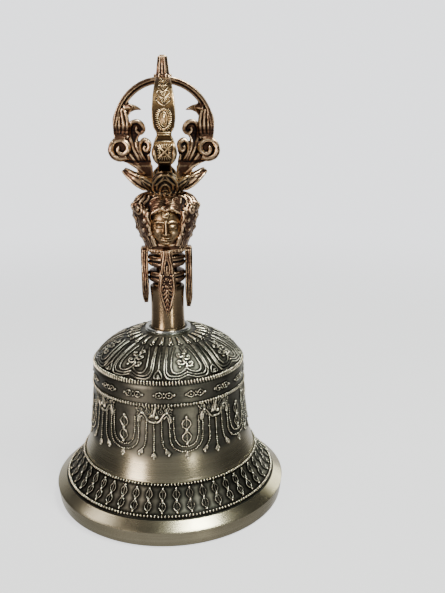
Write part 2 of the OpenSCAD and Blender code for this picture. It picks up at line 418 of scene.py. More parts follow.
def bellSilver():
    f = Finish("bellSilver", 0.3, Anisotropic=0.6, Anisotropic_Rotation=0.25)
    f.brushRound()
    cut = f.group(turned)
    relief, zone, halo = f.mark("relief"), f.mark("zone"), f.mark("halo")
    aged = f.group(patina, Height=relief, Hollow=silverTones["hollow"], Body=(0.30, 0.29, 0.24),
                   Worn=silverTones["worn"], Blotch=0.28, Satin=0.24, Matt=0.55)
    blotch = noise(f.tree, f.place, 120, 4, 0.6)
    ground = blendColours(f.tree, spread(f.tree, blotch, 0.3, 0.75), silverTones["ground"],
                          (0.15, 0.145, 0.115))
    ground = blendColours(f.tree, times(f.tree, spread(f.tree, cut["Streak"], 0.4, 0.8), 0.4),
                          ground, (0.17, 0.155, 0.13))
    satin = blendColours(f.tree, spread(f.tree, cut["Streak"], 0.3, 0.75), silverTones["satin"],
                         (0.44, 0.40, 0.285))
    satin = blendColours(f.tree, times(f.tree, spread(f.tree, blotch, 0.45, 0.8), 0.35),
                         satin, (0.25, 0.21, 0.145))
    shaded = blendColours(f.tree, halo, ground, aged["Colour"])
    f.feed(Base_Color=blendColours(f.tree, zone, satin, shaded))
    satinRough = plus(f.tree, times(f.tree, cut["Line"], 0.12), silverTones["satinRoughness"] - 0.06)
    groundRough = plus(f.tree, times(f.tree, blotch, 0.14), silverTones["groundRoughness"] - 0.07)
    mixRough = plus(f.tree, times(f.tree, halo, aged["Roughness"]),
                    times(f.tree, minus(f.tree, 1.0, halo), groundRough))
    f.feed(Roughness=plus(f.tree, times(f.tree, zone, mixRough),
                          times(f.tree, minus(f.tree, 1.0, zone), satinRough), True))
    lines = times(f.tree, cut["Line"], minus(f.tree, 1.0, times(f.tree, zone, 0.7)))
    f.bump(plus(f.tree, lines, times(f.tree, aged["Pits"], times(f.tree, zone, 1.4))),
           0.02, 0.6)
    return f.material


silver = bellSilver()
print("finishes ready")


# bell wall

wallHigh = np.array(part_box("bell_body")[1])/mm
bell = {
    "rimRadius": wallHigh[0], "crownHeight": wallHigh[2], "seatRadius": 10.5,
    "domeRadius": 29.0, "domeHeight": 52.6, "waistRadius": 30.4, "waistHeight": 31.0,
    "lipHeight": 5.9, "lipWidth": 3.8, "wall": 2.6, "holeRadius": 2.1, "crownThickness": 3.5,
    "grooveDepth": 0.3, "steps": 440,
}


def outsideOfBell():
    b = bell
    dome = curvePoints([b["seatRadius"], b["crownHeight"]], [20, 64.3], [b["domeRadius"] - 0.4, 58.5],
                       [b["domeRadius"], b["domeHeight"]], 44)
    side = curvePoints(dome[-1], [b["domeRadius"] - 0.4, 46], [b["waistRadius"] - 0.6, 36.5],
                       [b["waistRadius"], b["waistHeight"]], 30)
    flare = curvePoints(side[-1], [31.6, 20], [36, 12.8], [b["rimRadius"] - 3.7, b["lipHeight"] + 2.7], 60)
    lip = curvePoints(flare[-1], [b["rimRadius"] - 2.9, 7.9], [b["rimRadius"] - 1.2, 6.8],
                      [b["rimRadius"] - 0.12, b["lipHeight"] + 0.12], 7)
    return np.concatenate([dome, side[1:], flare[1:], lip[1:]])


domeEnd, flareStart = 44, 73    # points of the outline where the dome ends and the flare starts
outside = outsideOfBell()
outsideLength = np.concatenate([[0], np.cumsum(np.linalg.norm(np.diff(outside, axis=0), axis=1))])
outsideAlong = np.gradient(outside, outsideLength, axis=0)
outsideOut = np.stack([-outsideAlong[:, 1], outsideAlong[:, 0]], 1)
outsideOut /= np.linalg.norm(outsideOut, axis=1)[:, None]
lengthAtHeight = lambda z: np.interp(-np.asarray(z, float), -outside[:, 1], outsideLength)
lengthAtRadius = lambda r: np.interp(r, outside[:domeEnd, 0], outsideLength[:domeEnd])    # on the dome only


def sAt(height):    # s of a height on the outside
    return float(lengthAtHeight(height))


def onBell(angle, s, lift=0.0):    # angle in degrees from the front, s in mm down the outside
    r = np.interp(s, outsideLength, outside[:, 0]) + lift*np.interp(s, outsideLength, outsideOut[:, 0])
    z = np.interp(s, outsideLength, outside[:, 1]) + lift*np.interp(s, outsideLength, outsideOut[:, 1])
    a = np.radians(angle)
    return np.stack([r*np.sin(a), -r*np.cos(a), z + 0*a], -1)


def seatOnBell(angle, s, lift=0.0, turn=0.0):    # place for a motif lying flat: x round the bell, y up it
    a, t = math.radians(angle), math.radians(turn)
    nr, nz = np.interp(s, outsideLength, outsideOut[:, 0]), np.interp(s, outsideLength, outsideOut[:, 1])
    across = np.array([math.cos(a), math.sin(a), 0])
    out = np.array([nr*math.sin(a), -nr*math.cos(a), nz])
    up = np.cross(out, across)
    seat = np.eye(4)
    seat[:3, 0] = across*math.cos(t) + up*math.sin(t)
    seat[:3, 1] = up*math.cos(t) - across*math.sin(t)
    seat[:3, 2] = out
    seat[:3, 3] = onBell(angle, s, lift)
    return seat


def ballsOnBell(name, beads, lift, segments=8, rings=5):    # beads: (degrees, s, size)
    return copiesAt(name, bead((1, 1, 1), segments, rings),
                    [scaledSeat(seatOnBell(a, d, lift), r) for a, d, r in beads])


def heightOnBell(co):    # how far points in mm stand off the outside
    q = np.stack([np.hypot(co[:, 0], co[:, 1]), co[:, 2]], 1)
    best = np.full(len(q), 99.0)
    for a, b in zip(outside[:-1], outside[1:]):
        t = np.clip(((q - a)@(b - a))/((b - a)@(b - a)), 0, 1)
        best = np.minimum(best, np.linalg.norm(q - a - t[:, None]*(b - a), axis=1))
    return best


pearlRows = {"inner": 33.8, "outer": 40.3}    # radii of the two rows round the flare
lengthAtFlare = lambda r: np.interp(r, outside[flareStart:, 0], outsideLength[flareStart:])
rowLengths = {"shoulder": sAt(54.9), "frieze": sAt(46.7),
              "inner": float(lengthAtFlare(pearlRows["inner"])),
              "outer": float(lengthAtFlare(pearlRows["outer"]))}


def makeBellWall():
    b = bell
    grooves = [(rowLengths["outer"] + 0.95, 0.32, b["grooveDepth"]), (rowLengths["inner"] - 0.8, 0.3, 0.16),
               (rowLengths["shoulder"] - 0.95, 0.2, 0.16), (rowLengths["shoulder"] + 1.0, 0.3, 0.2)]
    rows = 151
    grid = np.interp(np.linspace(0, rows - 1, rows), np.linspace(0, rows - 1, len(outsideLength)),
                     outsideLength)
    middle, width, _ = grooves[0]    # the widest groove gets rows of its own
    grid = np.unique(np.concatenate([grid, middle + np.linspace(-1, 1, 5)*width*1.6]))
    drop = sum(-deep*np.exp(-((grid - at)/wide)**2) for at, wide, deep in grooves)
    inFrieze = step(rowLengths["inner"], rowLengths["inner"] + 0.5, grid)*(
        1 - step(rowLengths["outer"] - 0.4, rowLengths["outer"] + 0.1, grid))
    drop = drop - 0.15*inFrieze
    out = onBell(0, grid, drop)
    out = np.stack([-out[:, 1], out[:, 2]], 1)
    edge = b["rimRadius"]
    rim = np.array([[edge, b["lipHeight"]], [edge - 0.04, b["lipHeight"] - 0.3], [edge - 0.3, 3.2],
                    [edge - 0.6, 0.9], [edge - 0.75, 0.35], [edge - 1.1, 0.05], [edge - 1.4, 0],
                    [edge - 1.1 - b["lipWidth"] + 0.4, 0], [edge - 1.1 - b["lipWidth"] + 0.1, 0.1]])
    inner = b["waistRadius"] - b["wall"]
    top = b["domeRadius"] - b["wall"]
    under = b["crownHeight"] - b["crownThickness"]
    inside = np.concatenate([
        curvePoints([edge - 1.1 - b["lipWidth"], 0.35], [35, 10], [inner, 19], [inner, b["waistHeight"]], 14),
        curvePoints([inner, b["waistHeight"]], [inner - 0.6, 38], [top, 46], [top, b["domeHeight"] - 1],
                    7)[1:],
        curvePoints([top, b["domeHeight"] - 1], [top, 58], [18, under - 0.6], [b["seatRadius"], under],
                    12)[1:],
        [[b["holeRadius"], under]]])
    profile = np.concatenate([[[b["holeRadius"], b["crownHeight"]]], out, rim, inside])
    o = spun("bellWall", profile, b["steps"], closed=True)
    return smooth(o, 40)


bellWall = makeBellWall()
print("bell wall turned", len(bellWall.data.polygons))


# raised work on the bell

shoulder = {
    "petals": 8, "first": 14.0, "outerHalf": 17.9, "middleHalf": 16.2, "innerHalf": 12.3,
    "top": 16.4, "line": 0.27, "rays": 28, "rayFrom": 10.5, "rayTo": 15.0,
}


def domeLine(points, radius, first, n):    # points: (degrees from the petal's middle, s)
    p = through(points, n)
    return onBell(first + p[:, 0], p[:, 1], radius*0.15), radius, False


def makeShoulder():
    s = shoulder
    end, top = rowLengths["shoulder"] - 1.2, float(lengthAtRadius(s["top"]))
    lines, beads = [], []
    deep = end - top
    for k in range(s["petals"]):
        at = s["first"] + k*360/s["petals"]
        for half, drop, size in ((s["outerHalf"], 0.0, s["line"]*1.1), (s["middleHalf"], 1.0, s["line"])):
            side = [(half*0.93, top + 0.2), (half*0.97, top + deep*0.3), (half*1.0, top + deep*0.6),
                    (half*0.99, top + deep*0.82 - drop*0.4), (half*0.86, end - 0.5 - drop),
                    (half*0.62, end - 0.15 - drop), (half*0.34, end - 0.35 - drop)]
            run = side + [(2.0, end - 1.0 - drop), (0, end - 1.35 - drop), (-2.0, end - 1.0 - drop)] + [
                (-a, b) for a, b in side[::-1]]
            lines.append(domeLine(run, size, at, n=72))
        half = s["innerHalf"]
        heart = [(half*0.62, top + 0.9), (half*0.86, top + deep*0.3), (half*0.98, top + deep*0.55),
                 (half, top + deep*0.72), (half*0.86, end - 2.5), (half*0.55, end - 2.2),
                 (half*0.24, end - 2.9), (0, end - 4.0)]
        lines.append(domeLine(heart + [(-a, b) for a, b in heart[-2::-1]], s["line"]*1.05, at, n=64))
        # flower scroll inside the petal
        mid = top + deep*0.5
        stalk = [(0, end - 4.2), (1.2, mid + 1.6), (-1.4, mid - 0.2), (1.6, mid - 2.4), (-0.6, top + 1.0)]
        lines.append(domeLine(stalk, np.linspace(0.42, 0.24, 34), at, n=34))
        for turn, low, reach in ((1, mid + 2.2, 6.0), (-1, mid + 1.3, 6.2), (1, mid - 0.6, 5.2),
                                 (-1, mid - 1.9, 5.6), (1, mid - 3.4, 4.4)):
            hook = [(0.4*turn, low), (reach*0.45*turn, low + 0.5), (reach*turn, low - 0.1),
                    (reach*1.05*turn, low - 1.1), (reach*0.62*turn, low - 1.3), (reach*0.55*turn, low - 0.5)]
            lines.append(domeLine(hook, np.linspace(0.4, 0.24, 20), at, n=20))
            beads.append((at + reach*0.72*turn, low - 0.75, 0.34))
        beads += [(at + 5.2, end - 4.6, 0.45), (at - 5.2, end - 4.6, 0.45), (at, end - 2.3, 0.4)]
        # leaf tip and stalk between two petals
        gap = at + 180/s["petals"]
        lines.append(domeLine([(0, top + 1.2), (0, end - 3.2)], np.linspace(0.16, 0.3, 8), gap, n=8))
        for turn in (-1, 1):
            leaf = [(0.3*turn, end - 3.4), (2.3*turn, end - 2.1), (3.0*turn, end - 0.8),
                    (1.2*turn, end - 0.5), (0.2*turn, end - 1.7)]
            lines.append(domeLine(leaf, 0.28, gap, n=16))
        beads.append((gap, end - 0.55, 0.42))
    for k in range(s["rays"]):
        a = k*360/s["rays"] + 3
        start, stop = float(lengthAtRadius(s["rayFrom"])) + 0.1, float(lengthAtRadius(s["rayTo"]))
        ray = [(0, start), (0, start*0.5 + stop*0.5), (0, stop)]
        lines.append(domeLine(ray, np.array([0.3, 0.36, 0.44, 0.5, 0.56, 0.56, 0.42]), a, n=7))
        beads += [(a - 2.1, stop + 0.6, 0.36), (a + 2.1, stop + 0.6, 0.36), (a, stop + 1.15, 0.3)]
    raised = tubes("shoulderLines", lines)
    balls = ballsOnBell("shoulderBeads", beads, 0.05)
    return joined("shoulderPetals", [raised, balls])


shoulderPetals = makeShoulder()
print("shoulder petals drawn", len(shoulderPetals.data.polygons))


garland = {
    "count": 8, "firstMask": -11.3, "bead": 0.27, "pitch": 0.8, "outerHalf": 11.7, "innerHalf": 8.8,
    "top": 42.4, "outerFoot": 29.3, "innerFoot": 31.1,
    "vajraTop": 42.0, "vajraFoot": 32.2, "vajra": (1.6, 0.21, 0.58, 0.2),
}
ropes = {"beads": 160, "shoulder": (0.3, 0.95, 0.6), "frieze": (0.29, 0.66, 0.55)}


def makeRopes():
    seats = []
    for row, half in (("shoulder", 0.0), ("frieze", 0.5)):
        for k in range(ropes["beads"]):
            angle = (k + half)*360/ropes["beads"]
            seats.append(scaledSeat(seatOnBell(angle, rowLengths[row], 0.12, 7), ropes[row]))
    return copiesAt("ropeRows", bead((1, 1, 1), 10, 7), seats)


ropeRows = makeRopes()
friezeVajras = {"count": 16, "first": -4.0, "height": 50.6, "loop": (1.16, 1.08), "line": 0.16}


def makeFriezeVajras():
    v = friezeVajras
    s = sAt(v["height"])
    perMm = math.degrees(1/29.0)
    lines, beads = [], []
    around = ring(18)
    for k in range(v["count"]):
        at = v["first"] + k*360/v["count"]
        for side in (-1, 1):
            middle = at + side*1.78*perMm
            lines.append((onBell(middle + v["loop"][0]*np.cos(around)*perMm,
                                 s + v["loop"][1]*np.sin(around), 0.22), v["line"], True))
            beads += [(at + side*3.6*perMm, s, 0.42), (middle, s, 0.3)]
        beads += [(at, s - 0.8, 0.32), (at, s + 0.8, 0.3)]
    balls = ballsOnBell("friezeBeads", beads, 0.2)
    return joined("friezeVajras", [tubes("friezeLoops", lines), balls])


smallVajras = makeFriezeVajras()


def uprightVajra(lines, beads, at, top, bottom, wide, line, ball, lift):    # top and bottom as s
    middle = (top + bottom)/2
    perMm = math.degrees(1)/float(np.interp(middle, outsideLength, outside[:, 0]))
    for a, b in ((top + ball, middle - ball), (middle + ball, bottom - ball)):
        t = 0.5 - 0.5*np.cos(np.linspace(0, math.pi, 13))
        for side in (-1, 1):
            bow = wide*np.sin(math.pi*t)**0.7*side
            lines.append((onBell(at + bow*perMm, a + (b - a)*t, lift), line, False))
        lines.append((onBell(at + 0*t[::3], (a + (b - a)*t)[::3], lift), line*0.7, False))
    beads += [(at, top, ball), (at, middle, ball*1.15), (at, bottom, ball)]


def beadsAlong(beads, points, at, pitch, size):    # points: (degrees, height)
    p = through(points, 120)
    sp = np.stack([at + p[:, 0], lengthAtHeight(p[:, 1])], 1)
    xyz = onBell(sp[:, 0], sp[:, 1])
    length = np.concatenate([[0], np.cumsum(np.linalg.norm(np.diff(xyz, axis=0), axis=1))])
    for d in np.arange(0, length[-1], pitch):
        beads.append((np.interp(d, length, sp[:, 0]), np.interp(d, length, sp[:, 1]), size))


def garlandLine(points, radius, at, n=24):    # points: (degrees, height)
    p = through(points, n)
    return onBell(at + p[:, 0], lengthAtHeight(p[:, 1]), 0.16), radius, False


def tassel(lines, beads, at, angle, z, lean=0.0):    # small bell with a ball under it
    for side in (-1, 0, 1):
        lines.append(garlandLine([(angle, z), (angle + side*0.9 + lean*0.4, z - 0.6),
                                  (angle + side*1.4 + lean, z - 1.5)], np.linspace(0.22, 0.34, 7), at, 7))
    beads += [(at + angle, sAt(z - 0.1), 0.36),
              (at + angle + lean*1.25, sAt(z - 2.0), 0.5)]


def makeGarlands():
    g = garland
    lines, beads = [], []
    for k in range(g["count"]):
        at = g["firstMask"] + 22.5 + k*360/g["count"]
        for half, foot in ((g["outerHalf"], g["outerFoot"]), (g["innerHalf"], g["innerFoot"])):
            u = [(-half, g["top"]), (-half, g["top"] - 3.5), (-half*0.985, foot + 5.4),
                 (-half*0.86, foot + 2.6), (-half*0.52, foot + 0.7), (0, foot)]
            beadsAlong(beads, u + [(-a, b) for a, b in u[-2::-1]], at, g["pitch"], g["bead"])
        tassel(lines, beads, at, 0, g["outerFoot"] - 0.4)
        uprightVajra(lines, beads, at, sAt(g["vajraTop"]), sAt(g["vajraFoot"]), *g["vajra"])
        mask = g["firstMask"] + k*360/g["count"]
        beadsAlong(beads, [(0, 40.2), (0, 34), (0, 29.4)], mask, g["pitch"], g["bead"])
        tassel(lines, beads, mask, 0, 29.1)
        for side in (-1, 1):
            beadsAlong(beads, [(5.3*side, 41.2), (5.4*side, 37), (5.6*side, 34), (6.4*side, 31.8),
                               (8.4*side, 30.3)], mask, g["pitch"], g["bead"])
            tassel(lines, beads, mask, 8.5*side, 30.2, 1.3*side)
    balls = ballsOnBell("garlandBeads", beads, 0.22, 7, 4)
    return joined("garlands", [tubes("garlandLines", lines), balls])


garlands = makeGarlands()
masks = {"count": 8, "height": 43.9, "line": 0.19}


def makeMasks():
    g = masks
    lines, beads = [], []
    up, fine = g["height"], g["line"]
    for k in range(g["count"]):
        at = garland["firstMask"] + k*360/g["count"]
        lines.append(garlandLine([(0.9, up + 2.2), (0.5, up + 0.9), (-0.5, up - 1.5)],
                                 np.array([0.24, 0.32, 0.38, 0.44, 0.5, 0.56]), at, 6))
        beads += [(at - 2.1, sAt(up - 1.2), 0.62), (at + 1.9, sAt(up - 1.6), 0.72),
                  (at + 1.2, sAt(up + 1.9), 0.4)]
        for side in (-1, 1):
            lines.append(garlandLine([(0.2*side, up - 3.3), (2.6*side, up - 3.4), (4.6*side, up - 2.5),
                                      (6.2*side, up - 1.1), (8.2*side, up - 0.1), (10.2*side, up - 0.5),
                                      (11.6*side, up - 2.2), (11.7*side, up - 3.6)],
                                     np.linspace(0.38, 0.3, 34), at, 34))
            lines.append(garlandLine([(7.0*side, up - 2.2), (8.6*side, up - 1.2), (9.9*side, up - 1.9),
                                      (10.2*side, up - 3.4)],
                                     0.24, at, 14))
            lines.append(garlandLine([(0.6*side, up + 1.2), (2.2*side, up - 0.4), (3.4*side, up - 1.9)],
                                     0.22, at, 8))
            for middle, high, r in ((4.7, 0.3, 0.8), (8.8, 0.9, 0.62)):    # ringed eye and a curl beside it
                around = ring(14)
                p = np.stack([middle*side + 2*r*np.cos(around), up + high + r*np.sin(around)], 1)
                lines.append((onBell(at + p[:, 0], lengthAtHeight(p[:, 1]), 0.1), fine, True))
                beads.append((at + middle*side, sAt(up + high), 0.28))
            for n in range(7):    # short locks standing in a bow over the brow
                a = side*(1.1 + n*1.85)
                z = up + 1.55 + 0.4*(n % 2) - max(0, n - 3)*0.12
                lines.append(garlandLine([(a, z - 0.35), (a + side*(0.2 + n*0.14), z + 0.5)], 0.22, at, 3))
            for n in range(4):    # locks beside the cheek
                z = up + 1.0 - n*0.95
                lines.append(garlandLine([((10.2 + 0.2*n)*side, z), ((11.4 + 0.12*n)*side, z + 0.5),
                                          ((12.8 + 0.05*n)*side, z - 0.1)], 0.17, at, 7))
    balls = ballsOnBell("maskBeads", beads, 0.1, 10, 7)
    return joined("masks", [tubes("maskLines", lines), balls])


maskRow = makeMasks()
vajraBand = {"count": 46, "first": 2.6, "vajra": (1.15, 0.18, 0.44, 0.15)}


def makeVajraBand():
    v = vajraBand
    top, bottom = rowLengths["inner"] + 1.35, rowLengths["outer"] - 1.3
    lines, beads = [], []
    for k in range(v["count"]):
        uprightVajra(lines, beads, v["first"] + k*360/v["count"], top, bottom, *v["vajra"])
    balls = ballsOnBell("bandBeads", beads, 0.16, 7, 4)
    return joined("vajraBand", [tubes("bandLoops", lines, 0), balls])


vajraRow = makeVajraBand()
pearls = {"inner": (178, (0.34, 0.48, 0.56)), "outer": (204, (0.36, 0.52, 0.6))}


def makePearls():
    seats = [scaledSeat(seatOnBell(k*360/n, rowLengths[row], 0.18), size)
             for row, (n, size) in pearls.items() for k in range(n)]
    return copiesAt("pearlRows", bead((1, 1, 1), 8, 5), seats)


pearlBands = makePearls()
bellReliefs = [shoulderPetals, ropeRows, smallVajras, garlands, maskRow, vajraRow, pearlBands]
print("raised work done", sum(len(o.data.polygons) for o in bellReliefs))


def markBell():
    every = []
    for o in bellReliefs:
        facesOut(o, 0.000001)
        smooth(o)
        co = coords(o)/mm
        stand = heightOnBell(co)
        setMark(o, "relief", step(0.1, 0.46, stand)*0.94)
        setMark(o, "zone", np.ones(len(co)))
        setMark(o, "halo", np.ones(len(co)))
        every.append(co[stand < 0.4][::2])
    every = np.concatenate(every)
    tree = KDTree(len(every))
    for i, p in enumerate(every):
        tree.insert(p, i)
    tree.balance()
    co = coords(bellWall)/mm
    z = co[:, 2]
    outer = heightOnBell(co) < 0.5
    near = np.full(len(co), 9.0)
    for i in np.nonzero(outer & (z > 8))[0]:
        near[i] = tree.find(co[i])[2]
    reach = 0.85 + 0.5*step(54, 56, z) + 1.3*(z < 20)    # darker gaps on the dome and round the flare
    halo = 1 - step(0.1, 1, near/reach)
    angle = np.degrees(np.arctan2(co[:, 0], -co[:, 1]))
    ripple = 0.7*np.sin(np.radians(angle*8 + 200)) + 0.3*np.sin(np.radians(angle*16 + 60))
    zone = outer*step(25.2, 29.0, z + ripple)
    inner, outerRow = np.interp([pearlRows["inner"], pearlRows["outer"] + 0.75], outside[flareStart:, 0],
                                outside[flareStart:, 1])
    zone = np.maximum(zone, outer*(z < inner + 0.45)*(z > outerRow - 0.35))
    setMark(bellWall, "zone", zone)
    setMark(bellWall, "halo", halo)
    setMark(bellWall, "relief", 0.16 - 0.14*halo)


markBell()
for o in bellReliefs:
    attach(o, "bell")
    o.data.materials.append(silver)
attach(bellWall, "bell")
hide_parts("bell_body")
bellWall.data.materials.append(silver)
print("bell finished")


# castings of the handle

castTones = {
    "copper": {"Hollow": (0.007, 0.004, 0.005), "Body": (0.120, 0.062, 0.040), "Worn": (0.76, 0.54, 0.34)},
    "gilt": {"Hollow": (0.010, 0.006, 0.004), "Body": (0.102, 0.060, 0.028), "Worn": (0.66, 0.475, 0.265)},
    "face": {"Hollow": (0.012, 0.006, 0.004), "Body": (0.150, 0.087, 0.042), "Worn": (0.73, 0.53, 0.315)},
    "dark": {"Hollow": (0.005, 0.005, 0.007), "Body": (0.045, 0.032, 0.026), "Worn": (0.45, 0.32, 0.18)},
}


def castFinish(name, tones):
    f = Finish(name, 0.35)
    # the mark gives patina in hollows and rubbed wear on highs, and its broadest size adds painted shade in
    # wide hollows
    aged = f.group(patina, Height=f.mark("wear"), Blotch=0.42, Satin=0.3, Matt=0.62, **tones)
    f.feed(Base_Color=aged["Colour"], Roughness=aged["Roughness"], Metallic=aged["Metal"])
    f.bump(aged["Pits"], 0.03, 0.8)
    return f.material


copper = castFinish("handleCopper", castTones["copper"])
gilt = castFinish("prongGilt", castTones["gilt"])
darkBronze = castFinish("lotusBronze", castTones["dark"])


def relaxed(points, pairs, rounds):
    many = np.bincount(pairs.ravel(), minlength=len(points)).astype(float)
    many[many == 0] = 1
    for _ in range(rounds):
        total = np.stack([np.bincount(pairs[:, 0], points[pairs[:, 1], i], len(points)) +
                          np.bincount(pairs[:, 1], points[pairs[:, 0], i], len(points)) for i in range(3)], 1)
        points = points*0.3 + 0.7*total/many[:, None]
    return points


def markWearAndShade(o, level=0.47, gain=1.0):    # hollows near 0, edges near 1, at three sizes of feature; the two finer sizes are patina and rubbed wear, the broadest paints shade into wide hollows
    pairs = np.empty(len(o.data.edges)*2, np.int32)
    o.data.edges.foreach_get("vertices", pairs)
    pairs = pairs.reshape(-1, 2)
    co, out = coords(o)/mm, normals(o)
    p, done, total = co, 0, 0
    for rounds, size, weight in ((3, 0.035, 0.16), (14, 0.12, 0.3), (60, 0.4, 0.26)):
        p = relaxed(p, pairs, rounds - done)
        done = rounds
        total = total + weight*np.tanh(((co - p)*out).sum(1)/size)
    setMark(o, "wear", level + gain*total)


def cast(name, parts, voxel=0.2, rounds=2):
    o = joined(name, parts)
    applyModifier(o, "REMESH", mode="VOXEL", voxel_size=voxel*mm, use_smooth_shade=True)
    if rounds:
        applyModifier(o, "SMOOTH", factor=0.5, iterations=rounds)
    return o


def plate(outline, half):    # outline as (out from the axis, height), thick by half either side
    p = np.array(outline, float)
    o = meshObject("plate", np.stack([p[:, 0], 0*p[:, 0] - half, p[:, 1]], 1)*mm, [range(len(p))])
    pick(o)
    bpy.ops.object.mode_set(mode="EDIT")
    bpy.ops.mesh.select_all(action="SELECT")
    bpy.ops.mesh.extrude_region_move(TRANSFORM_OT_translate={"value": (0, 2*half*mm, 0)})
    bpy.ops.object.mode_set(mode="OBJECT")
    return facesOut(o)


def turnedCopy(o, name, degrees):
    pick(o)
    bpy.ops.object.duplicate()
    c = bpy.context.object
    c.name = name
    c.data.name = name
    c.rotation_euler = (0, 0, math.radians(degrees))
    return applyPlace(c)


def withRibs(o, ribs, worn=0.84, shade=0.55, reach=0.45):    # crisp ribs on a casting, dark between them
    ribs = smooth(facesOut(ribs, 0.000001))
    p = coords(ribs)/mm
    tree = KDTree(len(p))
    for i, q in enumerate(p):
        tree.insert(q, i)
    tree.balance()
    co = coords(o)/mm
    low, high = p.min(0) - reach, p.max(0) + reach
    wear = np.empty(len(co), np.float32)
    o.data.attributes["wear"].data.foreach_get("value", wear)
    for i in np.nonzero(((co > low) & (co < high)).all(1))[0]:
        d = tree.find(co[i])[2]
        if d < reach:
            wear[i] -= shade*(1 - d/reach)
    setMark(o, "wear", wear)
    setMark(ribs, "wear", np.full(len(p), worn))
    return joined(o.name, [o, ribs])


prong = {
    "arcRadius": 17.8, "arcHeight": 141.0, "thick": 2.4, "half": 3.95,
    "curl": (15.4, 134.0), "curlRadius": 4.3, "voxel": 0.2, "medallion": 11.5,
    "halfAt": [(123, 2.9), (128, 3.0), (129.6, 2.4), (130.4, 3.0), (131.6, 3.6), (133.2, 4.0), (134.8, 4.0),
               (136.6, 3.5), (138.2, 2.75), (139.4, 2.45), (140.4, 2.6), (142, 3.55), (145, 3.95),
               (148, 3.9), (152, 3.6), (155, 3.15), (158, 2.6), (160, 2.6)],
}


def sideRidges(points, radius, y, chance):    # raised lines on both cheeks of a prong, a little uneven
    lines = []
    stray = 0.2 if len(points) < 20 else 0.05
    p = through([(a + chance.uniform(-stray, stray), b + chance.uniform(-stray, stray)) for a, b in points],
                max(14, 5*len(points)))
    uneven = through([(chance.uniform(0.82, 1.2), 0) for _ in range(6)], len(p))[:, 0]
    r = np.interp(np.linspace(0, 1, len(p)), np.linspace(0, 1, len(radius)), radius)*uneven
    for side in (-1, 1):
        lines.append((np.stack([p[:, 0], np.full(len(p), side*y), p[:, 1]], 1), r, False))
    return lines


def spiral(middle, start, end, fromAngle, toAngle, n=26):
    a = np.radians(np.linspace(fromAngle, toAngle, n))
    r = np.linspace(start, end, n)
    return [(middle[0] + q*math.cos(t), middle[1] + q*math.sin(t)) for q, t in zip(r, a)]


def onArc(angle, y, lift=0.0):    # on the outer face of a prong, angle in degrees above its middle
    a = np.radians(np.asarray(angle, float))
    r = prong["arcRadius"] + lift - 0.4*(np.asarray(y)/prong["half"])**2
    return np.stack([r*np.cos(a), y + 0*a, prong["arcHeight"] + r*np.sin(a)], -1)


def onCurl(angle, y, lift=0.0):
    a = np.radians(np.asarray(angle, float))
    r = prong["curlRadius"] + lift - 0.45*(np.asarray(y)/prong["half"])**2
    return np.stack([prong["curl"][0] + r*np.cos(a), y + 0*a, prong["curl"][1] + r*np.sin(a)], -1)


def narrowed(o):    # to the prong's outline as seen from the front
    co = coords(o)
    heights, halves = np.array(prong["halfAt"]).T
    co[:, 1] *= np.interp(co[:, 2]/mm, heights, halves)/prong["half"]
    setCoords(o, co)
    return o


